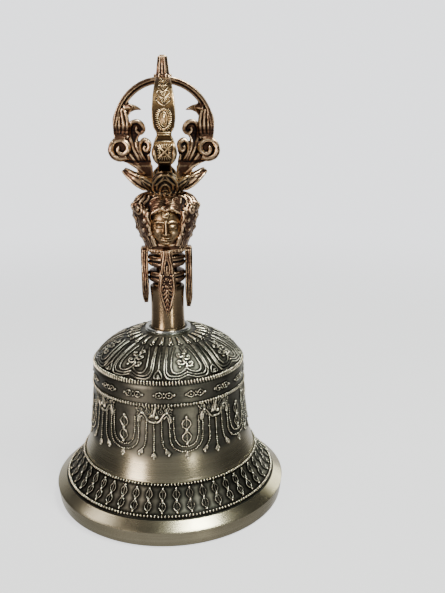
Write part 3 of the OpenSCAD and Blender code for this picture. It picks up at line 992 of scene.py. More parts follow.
def makeProng():
    g = prong
    chance = random.Random(5)
    mid = (0, g["arcHeight"])
    r, w = g["arcRadius"], g["half"]
    deep = r - g["thick"]
    outer = spiral(mid, r, r, 83, -14, 50) + spiral(mid, r - 1.25, r - 1.25, -14, 82, 44)
    inner = spiral(mid, r - 1.1, r - 1.1, 82, -14, 50) + spiral(mid, deep, deep, -14, 81, 44)
    parts = [plate(outer, w), plate(inner, w*0.74)]
    parts.append(plate([(15.4, 148.4), (14.4, 148.0), (13.1, 146.0), (12.3, 143), (12.4, 139.6),
                        (13.3, 137.0), (16.4, 137.0), (17.0, 141), (16.8, 145)], w*0.84))
    parts.append(plate(spiral(g["curl"], g["curlRadius"], g["curlRadius"], 0, 350, 36), w*0.6))
    rolled = spiral(g["curl"], g["curlRadius"], g["curlRadius"], -125, 115, 30)
    rolled += spiral(g["curl"], 3.0, 3.0, 115, -125, 24)
    parts.append(plate(rolled, w))
    # lobes of leaf and their stalks, down to the foot
    parts.append(plate([(12.4, 142.6), (11.2, 143.7), (9.3, 143.6), (7.6, 142.6), (7.0, 140.8), (7.6, 139.1),
                        (9.2, 138.3), (9.3, 135.5), (8.0, 130), (6.0, 125.5), (8.4, 125.5), (11.4, 130),
                        (13.4, 135), (13.4, 140)], w*0.62))
    parts.append(plate([(9.4, 134.5), (8.9, 136.6), (7.4, 137.5), (5.7, 137.0), (4.7, 135.2), (4.8, 133.0),
                        (5.6, 131), (5.3, 128), (4.6, 124.0), (7.9, 124.0), (9.3, 128)], w*0.62))
    parts.append(plate([(5.2, 124), (7.6, 124), (9.6, 126.6), (13.2, 129.0), (15.6, 129.8), (15.6, 132),
                        (12, 133), (8, 130)], w*0.72))
    parts.append(plate([(4.2, 123.8), (8.4, 123.8), (10.0, 126.0), (9.8, 128.4), (8.0, 130.0), (5.6, 129.6),
                        (4.3, 127.6)], w*0.8))
    flowing = [
        (spiral(g["curl"], 3.6, 3.4, -125, 60, 12) + spiral((15.2, 134.1), 3.15, 0.8, 80, 410, 18),
         (0.85, 1.05, 0.95, 0.8, 0.6)),
        ([(7.0, 125.2), (9.2, 130.0), (10.9, 134), (11.9, 138), (12.3, 140.9), (11.3, 143), (9.4, 143.4),
          (7.6, 142.3), (7.3, 140.4), (8.5, 139.4), (9.7, 140.2), (9.5, 141.3)],
         (0.45, 0.7, 0.75, 0.8, 0.75, 0.5)),
        ([(6.3, 126.2), (8.1, 130.4), (9.3, 134.2), (9.8, 137.2), (8.9, 138.6)], (0.4, 0.6, 0.62, 0.4)),
        ([(5.4, 125.2), (6.4, 129.0), (8.3, 132.6), (8.8, 135.3), (7.5, 137.0), (5.8, 136.4), (5.1, 134.6),
          (6.0, 133.4), (7.1, 134.1), (6.9, 135.1)], (0.45, 0.65, 0.72, 0.7, 0.5)),
        ([(5.3, 126.8), (5.5, 129.6), (5.7, 131.9)], (0.4, 0.55, 0.35)),
        ([(7.2, 125.2), (9.9, 127.8), (13.0, 129.6), (15.2, 130.2)], (0.55, 0.62, 0.7, 0.7)),
        ([(7.6, 126.2), (10.6, 129.6), (12.4, 132.4), (12.9, 135.6)], (0.4, 0.6, 0.6, 0.4)),
        ([(9.2, 127.6), (11.6, 129.9), (13.4, 131.6), (14.0, 133.2)], (0.4, 0.5, 0.55, 0.4)),
        ([(13.3, 147.0), (12.7, 143), (13.4, 138.4)], (0.4, 0.6, 0.45)),
        ([(14.7, 147.6), (14.3, 143), (14.6, 138.7)], (0.45, 0.66, 0.5)),
        ([(15.7, 147.2), (15.8, 143), (15.9, 138.7)], (0.45, 0.6, 0.5)),
        ([(12.6, 138.0), (14.4, 138.6), (16.6, 138.4)], (0.5, 0.6, 0.5)),
    ]
    depths = [w*0.8] + [w*0.66]*4 + [w*0.72]*3 + [w*0.84]*4
    for (points, radius), y in zip(flowing, depths):
        parts.append(tubes("ridge", sideRidges(points, radius, y, chance), 2))
    claw = through([(14.4, 147.8), (13.0, 147.9), (11.4, 148.1), (9.8, 148.1), (7.8, 147.5)], 20)
    clawRadius = np.interp(np.linspace(0, 1, 20), [0, 0.35, 0.7, 1], [2.3, 1.75, 1.0, 0.16])
    for y in (-0.7, 0.7):
        p = np.stack([claw[:, 0], y*clawRadius, claw[:, 1]], 1)
        parts.append(tubes("claw", [(p, clawRadius, False)], 2))
    parts.append(plate([(13.2, 152.4), (12.9, 150.9), (12.0, 149.6), (10.6, 148.9), (11.4, 146.9),
                        (12.6, 145.2), (16.2, 144)], 2.4))
    o = narrowed(cast("prong", parts, g["voxel"], 2))
    markWearAndShade(o)
    return withRibs(o, narrowed(engraving()))


def engraving():    # medallion, leaf and shield on the outer face
    w, at = prong["half"], prong["medallion"]
    lines = []
    t = ring(22)
    for ry, rz, size in ((1.15, 7.6, 0.26), (0.5, 4.6, 0.4)):
        lines.append((onArc(at + rz*np.sin(t), ry*np.cos(t), 0.05), size, True))
    lines.append((onArc(at + np.linspace(-4, 4, 7), np.zeros(7), 0.05),
                  np.array([0.2, 0.4, 0.5, 0.55, 0.5, 0.4, 0.2]), False))
    for k in range(34):    # rays round the medallion
        a = math.tau*(k + 0.5)/34
        inner = (at + 9.6*math.sin(a), 1.6*math.cos(a))
        reach = 1.9 if abs(math.sin(a)) < 0.9 else 1.3
        outer = (at + 9.6*math.sin(a)*min(reach, 1.42), max(-3.35, min(3.35, 1.6*math.cos(a)*reach*1.15)))
        p = np.linspace(inner, outer, 4)
        lines.append((onArc(p[:, 0], p[:, 1], 0.02), np.array([0.17, 0.21, 0.2, 0.12]), False))
    for side in (-1, 1):    # rims
        a = np.linspace(-1, 74, 40)
        lines.append((onArc(a, np.full(40, side*w*0.93), -0.12), 0.26, False))
    for k in range(5):    # scrolled leaf above the medallion
        a = 29 + k*8.8
        wide = w*(0.74 - 0.06*k)
        for side in (-1, 1):
            p = through([(a - 3, 0.1*side), (a + 1.5, wide*0.62*side), (a + 5.6, wide*0.9*side),
                         (a + 8.4, wide*0.6*side), (a + 6.8, wide*0.3*side), (a + 4.4, wide*0.42*side)], 16)
            lines.append((onArc(p[:, 0], p[:, 1], 0.0), np.linspace(0.2, 0.13, 16), False))
            q = through([(a + 0.5, 0.2*side), (a + 3.4, wide*0.2*side), (a + 6.8, 0.1*side)], 7)
            lines.append((onArc(q[:, 0], q[:, 1], 0.0), 0.12, False))
    for a in (-2.4, -4.6):    # bands on the neck
        lines.append((onArc(np.full(9, a), np.linspace(-w*0.95, w*0.95, 9), 0.02), 0.26, False))
    reach, across = 44, w*0.9
    for side in (-1, 1):    # cross on the shield
        p = np.linspace((-reach, -across*side), (reach, across*side), 15)
        lines.append((onCurl(p[:, 0], p[:, 1], 0.03), 0.26, False))
        lines.append((onCurl(np.linspace(-reach, reach, 15), np.full(15, side*w*0.95), 0.0), 0.26, False))
        lines.append((onCurl(np.full(9, side*(reach + 8)), np.linspace(-w*0.9, w*0.9, 9), 0.0), 0.24, False))
        for k in range(5):    # fans of fine lines between its arms
            f = (k - 2)*0.32
            for start, stop in (((0.36*side, 0.36*f), (0.9*side, 0.9*f)),
                                ((0.36*f, 0.36*side), (0.9*f, 0.9*side))):
                p = np.linspace(start, stop, 5)
                lines.append((onCurl(p[:, 0]*reach, p[:, 1]*across, 0.0), 0.15, False))
    return tubes("engraving", lines, 1)


firstProng = makeProng()
print("prong cast", len(firstProng.data.polygons))
prongs = [turnedCopy(firstProng, "prong" + s.title(), d) for s, d in zip(sides, (-90, 0, 90, 180))]
bpy.data.objects.remove(firstProng)
for o, s in zip(prongs, sides):
    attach(o, "bell")
    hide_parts("prong_" + s)
    o.data.materials.append(gilt if s in ("front", "back") else copper)


centre = {"boss": (155.4, 159.2), "bossHalf": 2.8, "tip": (2.05, 1.5), "top": 166.0, "spindle": 1.9,
          "foot": 124.0}


def makeCentre():
    c = centre
    clearSelection()
    low, high = c["boss"]
    bpy.ops.mesh.primitive_cube_add(size=mm, location=(0, 0, (low + high)/2*mm))
    core = bpy.context.object
    core.scale = (2*c["bossHalf"], 2*c["bossHalf"], high - low)
    applyPlace(core)
    bpy.ops.object.mode_set(mode="EDIT")
    bpy.ops.mesh.select_all(action="SELECT")
    bpy.ops.mesh.bevel(offset=0.7*mm, segments=3, affect="EDGES")
    bpy.ops.object.mode_set(mode="OBJECT")
    wide, fine = c["tip"]
    tip = spun("tip", [(0, high - 0.6), (wide*1.3, high - 0.4), (wide*1.14, high + 0.4),
                       (fine*1.26, c["top"] - 1.2), (fine*1.12, c["top"] - 0.3), (fine*0.7, c["top"]),
                       (0, c["top"] - 0.15)], 4)
    tip.rotation_euler = (0, 0, math.radians(45))
    applyPlace(tip)
    lines = []
    for k in range(4):
        a = math.radians(90*k)
        turn = Matrix.Rotation(a, 3, "Z")
        for x in (-1.15, -0.05, 1.05):
            p = [turn @ Vector((x, -wide*0.93, high + 0.2)), turn @ Vector((x*0.85, -fine*1.1, high + 3.2)),
                 turn @ Vector((x*0.62, -fine*0.92, c["top"] - 0.6))]
            lines.append((through(p, 12), np.linspace(0.5, 0.34, 12), False))
        # leaf on each face of the boss
        for x, z in ((-1.4, high - 0.9), (1.4, high - 0.9), (0, high - 2.2)):
            p = [turn @ Vector((x*0.2, -c["bossHalf"] - 0.05, low + 0.5)),
                 turn @ Vector((x, -c["bossHalf"] - 0.12, (low + z)/2)),
                 turn @ Vector((x*0.8, -c["bossHalf"] + 0.2, z + 1.2))]
            lines.append((through(p, 10), np.linspace(0.3, 0.55, 10), False))
    s = c["spindle"]
    spindle = spun("spindle", [(0, c["foot"] - 0.5), (s + 1.2, c["foot"]), (s + 0.9, c["foot"] + 2),
                               (s + 0.1, c["foot"] + 3.2), (s, 132), (s + 0.7, 133), (s + 0.7, 134),
                               (s, 135), (s - 0.2, 145), (s + 0.5, 146), (s + 0.5, 147), (s, 148),
                               (s + 0.7, low + 0.5), (0, low + 0.6)], 40)
    o = cast("centreProng", [core, tip, spindle, tubes("tipLines", lines, 2)], 0.17, 1)
    markWearAndShade(o)
    return o


centreProng = makeCentre()
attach(centreProng, "bell")
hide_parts("centre_prong")
centreProng.data.materials.append(copper)
print("cage finished")


# lotus under the cage

lotus = {"neck": 6.2, "hub": 7.4, "low": 118.2, "top": 124.0, "reach": 14.8, "tipHeight": 126.7}


def petalBody(reach, tipHeight, wide, thick, root=5.0, rootHeight=120.6, n=22, around=20):
    mid = curvePoints([root, rootHeight], [root + (reach - root)*0.42, rootHeight + 0.2],
                      [reach - (reach - root)*0.22, tipHeight - 2.6], [reach, tipHeight], n)
    along = np.gradient(mid, axis=0)
    along /= np.linalg.norm(along, axis=1)[:, None]
    out = np.stack([along[:, 1], -along[:, 0]], 1)    # away from the axis and down
    t = np.linspace(0, 1, n)
    half = np.interp(t, [0, 0.3, 0.6, 0.85, 0.96, 1], [0.86, 1.0, 0.94, 0.6, 0.3, 0.1])*wide
    deep = np.interp(t, [0, 0.4, 0.8, 1], [1.0, 0.8, 0.5, 0.32])*thick
    a = ring(around)
    verts = []
    for i in range(n):
        y = half[i]*np.sign(np.cos(a))*np.abs(np.cos(a))**0.7
        d = deep[i]/2*np.sign(np.sin(a))*np.abs(np.sin(a))**0.7 - 0.9*(y/wide)**2    # cupped
        verts.append(np.stack([mid[i, 0] + out[i, 0]*d, y, mid[i, 1] + out[i, 1]*d], 1))
    verts = np.concatenate(verts)
    faces = [(i*around + k, i*around + (k + 1) % around, (i + 1)*around + (k + 1) % around,
              (i + 1)*around + k)
             for i in range(n - 1) for k in range(around)]
    faces += [range(around), range((n - 1)*around, n*around)]
    o = facesOut(meshObject("petal", verts*mm, faces))

    def onPetal(far, y, way=1):    # far from root 0 to tip 1, way -1 for the inner face
        i = np.interp(far, t, np.arange(n))
        at = lambda run: np.interp(i, np.arange(n), run)
        y = y*at(half)
        d = way*at(deep)/2 - 0.9*(y/wide)**2
        return np.stack([at(mid[:, 0]) + at(out[:, 0])*d, y, at(mid[:, 1]) + at(out[:, 1])*d], 1)

    return o, onPetal


def makePetal():
    body, outer = petalBody(lotus["reach"], lotus["tipHeight"], 4.7, 4.0)
    lines = []
    t = np.concatenate([np.linspace(0.12, 0.97, 24), np.linspace(0.97, 0.12, 24)])
    side = np.concatenate([np.full(24, 0.92), np.full(24, -0.92)])
    lines.append((outer(t, side), 0.42, False))
    lines.append((outer(t, side*0.97, -1), 0.42, False))
    for size, near in ((0.62, 0.80), (0.36, 0.66)):    # nested arches
        a = np.linspace(0, math.pi, 20)
        lines.append((outer(near - 0.32 + 0.32*np.sin(a)*(near/0.8), size*np.cos(a)), 0.34, False))
        leg = np.full(5, near - 0.32) - np.linspace(0, 0.16, 5)
        for y in (size, -size):
            lines.append((outer(leg, np.full(5, y)), 0.32, False))
    a = ring(16)
    lines.append((outer(0.27 + 0.075*np.sin(a), 0.2*np.cos(a)), 0.3, True))
    for y in (-0.45, 0, 0.45):
        vein = outer(np.linspace(0.2, 0.94, 16), np.full(16, y), -1)
        lines.append((vein, np.linspace(0.42, 0.3, 16), False))
    for y in (-1, 1):
        lines.append((outer(np.linspace(0.52, 0.95, 12), y*np.linspace(0.75, 0.12, 12)), 0.3, False))
    o = cast("lotusPetal", [body, tubes("veins", lines, 2)], 0.2, 1)
    markWearAndShade(o, 0.5)
    return o


def makeLotusBase():
    g = lotus
    hub = spun("hub", [(0, g["low"]), (g["neck"] + 0.3, g["low"]), (g["neck"] + 0.05, g["low"] + 0.4),
                       (g["neck"], g["low"] + 0.9), (g["neck"] + 0.5, g["low"] + 2.2),
                       (g["hub"], g["top"] - 2.4), (g["hub"] + 0.05, g["top"] - 0.9),
                       (g["hub"] - 0.4, g["top"] - 0.1), (g["hub"] - 1.6, g["top"] + 0.25),
                       (0, g["top"] + 0.2)], 64)
    parts = [hub]
    for k in range(4):    # small petals between the big ones
        body, outer = petalBody(11.8, 125.2, 3.5, 2.8, 4.6, 120.4)
        a = np.linspace(0, math.pi, 16)
        lines = [(outer(0.5 + 0.34*np.sin(a), 0.66*np.cos(a)), 0.34, False),
                 (outer(np.linspace(0.2, 0.95, 12), np.zeros(12)), 0.3, False)]
        for piece in (body, tubes("vein", lines, 2)):
            piece.rotation_euler = (0, 0, math.radians(45 + 90*k))
            parts.append(applyPlace(piece))
    pleats = []
    for k in range(20):    # pleats round the neck
        a = math.tau*k/20
        c, s = math.cos(a), math.sin(a)
        r = g["neck"]
        pleats.append((through([((r + 0.1)*c, (r + 0.1)*s, g["low"] + 0.3),
                                ((r + 0.5)*c, (r + 0.5)*s, g["low"] + 2.0),
                              ((g["hub"] + 0.1)*c, (g["hub"] + 0.1)*s, g["top"] - 2.2)], 8), 0.4, False))
    parts.append(tubes("pleats", pleats, 1))
    o = cast("lotusBase", parts, 0.22, 1)
    markWearAndShade(o, 0.42)
    return o


firstPetal = makePetal()
petals = [turnedCopy(firstPetal, "lotusPetal" + s.title(), d) for s, d in zip(sides, (-90, 0, 90, 180))]
bpy.data.objects.remove(firstPetal)
for o, s in zip(petals, sides):
    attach(o, "bell")
    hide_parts("lotus_petal_" + s)
    o.data.materials.append(darkBronze if s in ("front", "back") else copper)
lotusBase = makeLotusBase()
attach(lotusBase, "bell")
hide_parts("lotus_base")
lotusBase.data.materials.append(darkBronze)
print("lotus finished", len(lotusBase.data.polygons))


# head

headLow, headHigh = [np.array(v)/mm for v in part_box("head")]
head = {
    "low": headLow[2], "high": headHigh[2], "radius": headHigh[0] - 0.8, "frontCut": -7.4,
    "hairVoxel": 0.2, "faceVoxel": 0.1404,
}
hairOutline = np.concatenate([
    curvePoints([7.4, head["low"]], [7.8, 101], [head["radius"] - 0.7, 104.6], [head["radius"], 112], 14),
    curvePoints([head["radius"], 112], [head["radius"] + 0.3, 116.6],
                [head["radius"] - 2.6, head["high"] - 0.5], [6.5, head["high"]], 12)[1:]])
hairLength = np.concatenate([[0], np.cumsum(np.linalg.norm(np.diff(hairOutline, axis=0), axis=1))])


def hoodFront(x, z):    # how far forward the hair comes, with an opening for the face
    beside = step(4.6, 6.6, np.abs(x) + 1.6*step(105, 100, z))
    return head["frontCut"] - 1.7*beside*step(115, 112, z) + 1.6*step(113.5, 118, z) - 4*step(100.6, 99, z)


def onHair(angle, s, lift=0.0):    # angle in degrees from the front, s in mm up the hair
    angle, s = np.asarray(angle, float), np.asarray(s, float)
    r = np.interp(s, hairLength, hairOutline[:, 0]) + lift
    rise = np.interp(s, hairLength, np.linspace(-0.2, 0.8, len(hairLength)))
    z = np.interp(s, hairLength, hairOutline[:, 1]) + lift*rise
    x, y = r*np.sin(np.radians(angle)), -r*np.cos(np.radians(angle))
    return np.stack([x, np.maximum(y, hoodFront(x, z) - lift), z], -1)


def curl(lines, balls, angle, s, size, way=1, turns=1.6, thick=0.5, tail=None):
    perMm = math.degrees(1)/float(np.interp(s, hairLength, hairOutline[:, 0]))
    a = np.linspace(0.4, math.tau*turns, 30)
    r = size*(1 - 0.78*np.linspace(0, 1, 30)**0.9)
    rise = np.linspace(-0.1, 0.65, 30)*size/2.0
    p = onHair(angle + way*r*np.sin(a)*perMm, s - r*np.cos(a), rise)
    lines.append((p, np.linspace(thick*0.85, thick, 30), False))
    balls.append((onHair(angle, s, 0.55*size/2), thick*1.25))
    if tail:
        start = (angle + way*size*0.39*perMm, s - size*0.92)
        q = through([start, (angle + way*(size*0.2 + tail[0]*0.3)*perMm, s - size - tail[1]*0.35),
                     (angle + tail[0]*0.7*perMm, s - size - tail[1]*0.7),
                     (angle + tail[0]*perMm, s - size - tail[1])], 14)
        lines.append((onHair(q[:, 0], q[:, 1], 0.12), np.linspace(thick*0.9, thick*0.5, 14), False))


def makeHair():
    bulk = spun("hairBulk", [(0, head["low"])] + [tuple(p) for p in hairOutline] + [(0, head["high"])], 96)
    co = coords(bulk)/mm
    co[:, 1] = np.maximum(co[:, 1], hoodFront(co[:, 0], co[:, 2]))
    setCoords(bulk, co*mm)
    lines, balls, buns = [], [], []
    chance = random.Random(7)
    at = lambda z: float(np.interp(z, hairOutline[:, 1], hairLength))
    for side in (-1, 1):
        for angle, z, size, turns in ((51, 113.0, 2.55, 1.7), (82, 113.6, 2.1, 1.6), (112, 113.4, 2.3, 1.7),
                                      (146, 113.6, 2.2, 1.6), (41, 109.3, 1.5, 1.5), (66, 109.6, 1.7, 1.6),
                                      (95, 109.7, 1.6, 1.5), (126, 109.6, 1.75, 1.6), (161, 109.6, 1.7, 1.5),
                                      (49, 105.8, 1.4, 1.5), (78, 105.8, 1.6, 1.6), (110, 106.0, 1.5, 1.5),
                                      (143, 105.8, 1.6, 1.5), (58, 102.3, 1.35, 1.5), (92, 102.4, 1.3, 1.5),
                                      (125, 102.4, 1.35, 1.5), (158, 102.3, 1.3, 1.4)):
            way = side if chance.random() < 0.6 else -side
            tail = (chance.uniform(-1.6, 1.6), chance.uniform(1.6, 2.6))
            curl(lines, balls, side*angle + chance.uniform(-2, 2), at(z), size, way, turns,
                 0.6 if size > 2 else 0.5, tail)
        for angle, z, size in ((34, 110.9, 1.15), (36, 107.6, 1.25), (36, 104.4, 1.15), (33, 101.6, 1.05)):
            curl(lines, balls, side*angle, at(z), size, -side, 1.4, 0.4, (side*chance.uniform(0.2, 1.2), 1.4))
        for k in range(5):    # long locks beside the face
            a0 = 40 + k*2.4
            q = through([(side*(a0 - 8), at(113.6)), (side*(a0 + 3 + k), at(110.6)),
                         (side*(a0 - 1 + k*2), at(107.4)), (side*(a0 + 6 + k*2), at(104.0)),
                         (side*(a0 + 2 + k*4), at(101.2)), (side*(a0 + 10 + k*5), at(99.2))], 30)
            lines.append((onHair(q[:, 0], q[:, 1], 0.1), 0.42, False))
    for side in (-1, 1):
        for k in range(8):    # hair parted in the middle and combed out to the temples
            rise = 0.62*k
            p = through([(0.15*side, -9.3 + 0.36*k, 112.9 + rise),
                         (1.9*side, -9.45 + 0.36*k, 113.5 + rise*0.96),
                         (3.8*side, -9.0 + 0.34*k, 112.9 + rise*0.95),
                         (5.5*side, -8.5 + 0.3*k, 111.6 + rise*0.98),
                         (7.0*side, -7.9 + 0.25*k, 110.9 + rise*0.98)], 22)
            p[:, 2] += 0.12*np.sin(np.linspace(0, 9, 22) + k*1.3)
            lines.append((p, np.linspace(0.42, 0.36, 22), False))
        for k in range(2):    # waved locks close beside the face
            a0 = 28.5 + 3.4*k
            q = through([(side*(a0 + (1.5 if n % 2 else -1.0)), at(112.4 - 2.1*n)) for n in range(7)], 44)
            lines.append((onHair(q[:, 0], q[:, 1], 0.25), 0.55, False))
    for side in (-1, 1):    # a full rosette of hair at each upper corner
        middle = (9.7*side, -4.6, 113.5)
        turn = np.linspace(0, math.tau*1.9, 44)
        r = 2.35 - 1.75*np.linspace(0, 1, 44)**0.85
        lines.append((np.stack([middle[0] + side*r*np.cos(turn), middle[1] - 0.9*np.linspace(0, 1, 44),
                                middle[2] + r*np.sin(turn)], 1), 0.6, False))
        buns.append((middle, 2.2))
        balls.append(((middle[0], middle[1] - 1.1, middle[2]), 0.75))
    for k in range(38):    # waved hair lying under the curls
        a = 42 + 276*k/37
        q = through([(a + (2.6 if n % 2 else -2.6) + chance.uniform(-0.8, 0.8), at(115.2 - 2.05*n))
                     for n in range(9)], 50)
        lines.append((onHair(q[:, 0], q[:, 1], -0.05), np.linspace(0.55, 0.46, 50), False))
    curl(lines, balls, 180, at(113.4), 2.2, 1, 1.7, 0.52, (1, 2.4))
    curl(lines, balls, 180, at(105.8), 1.5, -1, 1.5, 0.44, (-1, 2))
    for k in range(26):    # hair drawn up to the neck of the lotus
        a = 360*k/26
        q = through([(a, at(115.0)), (a + 5, hairLength[-1] - 3.6), (a - 3, hairLength[-1] - 1.6),
                     (a + 3, hairLength[-1])], 12)
        lines.append((onHair(q[:, 0], q[:, 1], 0.05), np.linspace(0.52, 0.4, 12), False))
    for k in range(22):    # short ends at the nape
        a = 60 + 240*k/21
        q = through([(a - 4, at(101.0)), (a + 3, at(99.6)), (a - 2, at(98.3))], 8)
        lines.append((onHair(q[:, 0], q[:, 1], 0.05), 0.42, False))
    seats = [seatAt(p, r) for p, r in balls + buns]
    o = cast("hair", [bulk, tubes("curls", lines, 1), copiesAt("curlBalls", bead((1, 1, 1), 12, 8), seats)],
             head["hairVoxel"], 1)
    markWearAndShade(o, 0.45, 1.05)
    return o


face = {
    "middle": (0.0, -4.3, 107.0), "half": (5.75, 5.7, 7.5),
    "brow": 108.7, "eye": 107.35, "noseBase": 104.6, "mouth": 103.15, "chin": 100.4, "eyeApart": 2.2,
    "grow": (1.12, 1.04, 1.08),
}


def bulge(x, z, at, size, height):
    return height*np.exp(-((x - at[0])/size[0])**2 - ((z - at[1])/size[1])**2)


def makeFace():
    g = face
    clearSelection()
    bpy.ops.mesh.primitive_uv_sphere_add(segments=260, ring_count=170, radius=mm)
    o = bpy.context.object
    bpy.ops.object.mode_set(mode="EDIT")
    bpy.ops.mesh.select_all(action="SELECT")
    bpy.ops.transform.resize(value=g["half"])
    bpy.ops.object.mode_set(mode="OBJECT")
    co = coords(o)/mm + np.array(g["middle"])
    x, y, z = co.T
    front = step(0.0, 2.5, g["middle"][1] - y)
    slim = 1 - 0.30*step(105.5, 99.6, z) - 0.06*step(110, 114, z)
    x = x*slim
    ax = np.abs(x)
    e = g["eyeApart"]
    out = bulge(ax, z, (e, g["eye"] + 0.25), (1.5, 1.0), -0.75)                    # sockets
    out += bulge(ax, z, (e, g["eye"] + 0.1), (1.05, 0.62), 0.85)                   # lids over the eyes
    lid = g["eye"] - 0.28 - 0.16*np.clip(1 - ((ax - e)/1.2)**2, 0, 1)
    out += -0.34*np.exp(-((z - lid)/0.13)**2)*step(1.35, 1.05, np.abs(ax - e))     # closed lash line
    fold = g["eye"] + 0.62 + 0.12*np.clip(1 - ((ax - e)/1.2)**2, 0, 1)
    out += -0.2*np.exp(-((z - fold)/0.12)**2)*step(1.25, 0.9, np.abs(ax - e))
    arch = g["brow"] + 0.35 - 0.16*(ax - 2.1)**2
    out += 0.36*np.exp(-((z - arch)/0.24)**2)*step(0.45, 0.9, ax)*step(4.2, 3.4, ax)
    ridge = np.clip((g["brow"] + 0.4 - z)/(g["brow"] + 0.4 - g["noseBase"]), 0, 1)
    wide = 0.42 + 0.36*ridge**2
    under = step(g["noseBase"] - 0.12, g["noseBase"] + 0.32, z)
    out += (0.35 + 1.25*ridge**1.3)*np.exp(-(ax/wide)**2)*under*step(g["brow"] + 1.0, g["brow"], z)
    out += bulge(ax, z, (0.85, g["noseBase"] + 0.32), (0.38, 0.36), 0.62)          # wings of the nose
    out += bulge(ax, z, (0.42, g["noseBase"] - 0.1), (0.2, 0.14), -0.3)
    out += bulge(ax, z, (1.45, g["noseBase"] - 0.2), (0.35, 0.8), -0.16)
    out += bulge(ax, z, (0, g["noseBase"] - 0.65), (0.16, 0.35), -0.14)
    out += bulge(ax, z, (0.55, g["mouth"] + 0.32), (0.72, 0.22), 0.5)              # lips
    out += bulge(ax, z, (0.0, g["mouth"] - 0.42), (0.95, 0.28), 0.58)
    part = g["mouth"] + 0.05*ax**2 - 0.02
    out += -0.42*np.exp(-((z - part)/0.12)**2)*step(1.85, 1.35, ax)
    out += bulge(ax, z, (1.85, g["mouth"] + 0.12), (0.25, 0.25), -0.22)
    out += bulge(ax, z, (0, g["mouth"] - 1.05), (0.95, 0.24), -0.3)
    out += bulge(ax, z, (0, g["chin"] + 0.85), (1.15, 0.75), 0.45)
    out += bulge(ax, z, (3.0, 105.4), (1.25, 1.35), 0.32)
    out += bulge(ax, z, (0, 111.4), (0.62, 0.62), 0.45) + bulge(ax, z, (0, 111.4), (1.25, 1.25), -0.12)
    y = y - out*front
    setCoords(o, np.stack([x, y, z], 1)*mm)
    lines = []
    a = ring(24)

    def skinAt(px, pz):    # y of the plain face shape
        off = (px/g["half"][0])**2 + ((pz - g["middle"][2])/g["half"][2])**2
        return g["middle"][1] - g["half"][1]*np.sqrt(np.clip(1 - off, 0, 1))

    px, pz = 0.98*np.cos(a), 111.4 + 0.98*np.sin(a)
    lines.append((np.stack([px, skinAt(px, pz) - 0.05, pz], 1), 0.17, True))
    for lower, size in ((0.0, 0.36), (0.62, 0.24)):    # edge of the hair over the forehead
        t = np.linspace(-1, 1, 40)
        px = 4.9*t
        pz = 113.5 - lower - 2.0*np.abs(t)**2.2 + 0.14*np.cos(t*22)
        lines.append((np.stack([px, skinAt(px*0.92, np.minimum(pz, 113.2)) - 0.15, pz], 1), size, False))
    for side in (-1, 1):    # ears with long lobes and a drop
        ear = through([(5.25*side, -5.6, 108.6), (5.95*side, -5.7, 108.2), (6.15*side, -5.9, 106.6),
                       (5.75*side, -6.2, 105.0), (5.35*side, -6.3, 104.0)], 16)
        lines.append((ear, np.array([0.35, 0.5, 0.55, 0.55, 0.55, 0.5, 0.5, 0.48, 0.48, 0.48, 0.5, 0.5, 0.55,
                                     0.6, 0.6, 0.5]), False))
    o = cast("face", [o, tubes("faceLines", lines, 2)], head["faceVoxel"], 1)
    co = coords(o)/mm - np.array(g["middle"])    # filled out to the width of the head
    setCoords(o, (np.array(g["middle"]) + (0, -0.4, -0.2) + co*g["grow"])*mm)
    markWearAndShade(o, 0.6, 1.0)
    return o


faceGilt = castFinish("faceGilt", castTones["face"])
hair = makeHair()
faceMask = makeFace()
for o, material in ((hair, copper), (faceMask, faceGilt)):
    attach(o, "bell")
    o.data.materials.append(material)
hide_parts("head")
print("head finished", len(hair.data.polygons), len(faceMask.data.polygons))


# stem, rings, necklace and pendants

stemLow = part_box("stem_core")[0][2]/mm
stem = {"radius": 4.0, "low": stemLow, "ring": 7.0, "ringHeight": 4.4, "rings": (85.3, 91.2),
        "necklace": 96.2}


def makeStem():
    g = stem
    r = g["radius"]
    core = spun("stemCore", [(0, g["low"]), (r + 1.4, g["low"]), (r + 1.5, g["low"] + 0.8),
                             (r + 0.5, g["low"] + 1.4), (r, g["low"] + 1.9), (r, g["necklace"] - 1.2),
                             (r + 0.7, g["necklace"] - 0.4), (r + 0.7, g["necklace"] + 1.8),
                             (0, g["necklace"] + 1.8)], 64)
    o = cast("stemCore", [core], 0.2, 1)
    markWearAndShade(o, 0.3)
    return o


def makeStemRing(name, z, height):
    g = stem
    r = g["ring"]
    e = height*0.28
    body = spun(name, [(g["radius"] - 0.4, z), (r - e, z), (r - e*0.3, z + e*0.3), (r, z + e),
                       (r - 0.1, z + height*0.38), (r - 0.55, z + height*0.44), (r - 0.55, z + height*0.56),
                       (r - 0.1, z + height*0.62), (r, z + height - e), (r - e*0.3, z + height - e*0.3),
                       (r - e, z + height), (g["radius"] - 0.4, z + height)], 96, closed=True)
    o = cast(name, [body], 0.2, 1)
    markWearAndShade(o, 0.3, 0.9)
    return o


def makeNecklace():
    g = stem
    z = g["necklace"]
    body = spun("necklace", [(g["radius"] - 0.4, z), (6.3, z), (6.8, z + 0.5), (6.6, z + 1.0), (7.0, z + 1.3),
                             (7.3, z + 1.75), (7.0, z + 1.95), (g["radius"] - 0.4, z + 1.95)], 96,
                closed=True)
    seats = []
    for k in range(34):
        a = math.tau*k/34
        seats.append(seatAt((7.1*math.cos(a), 7.1*math.sin(a), z + 1.45), 0.62))
    o = cast("necklace", [body, copiesAt("necklaceBeads", bead((1, 1, 1), 10, 7), seats)], 0.17, 1)
    markWearAndShade(o, 0.5)
    return o


pendant = {"top": 98.4, "face": 9.2, "thick": 2.3, "half": 3.05, "voxel": 0.16}


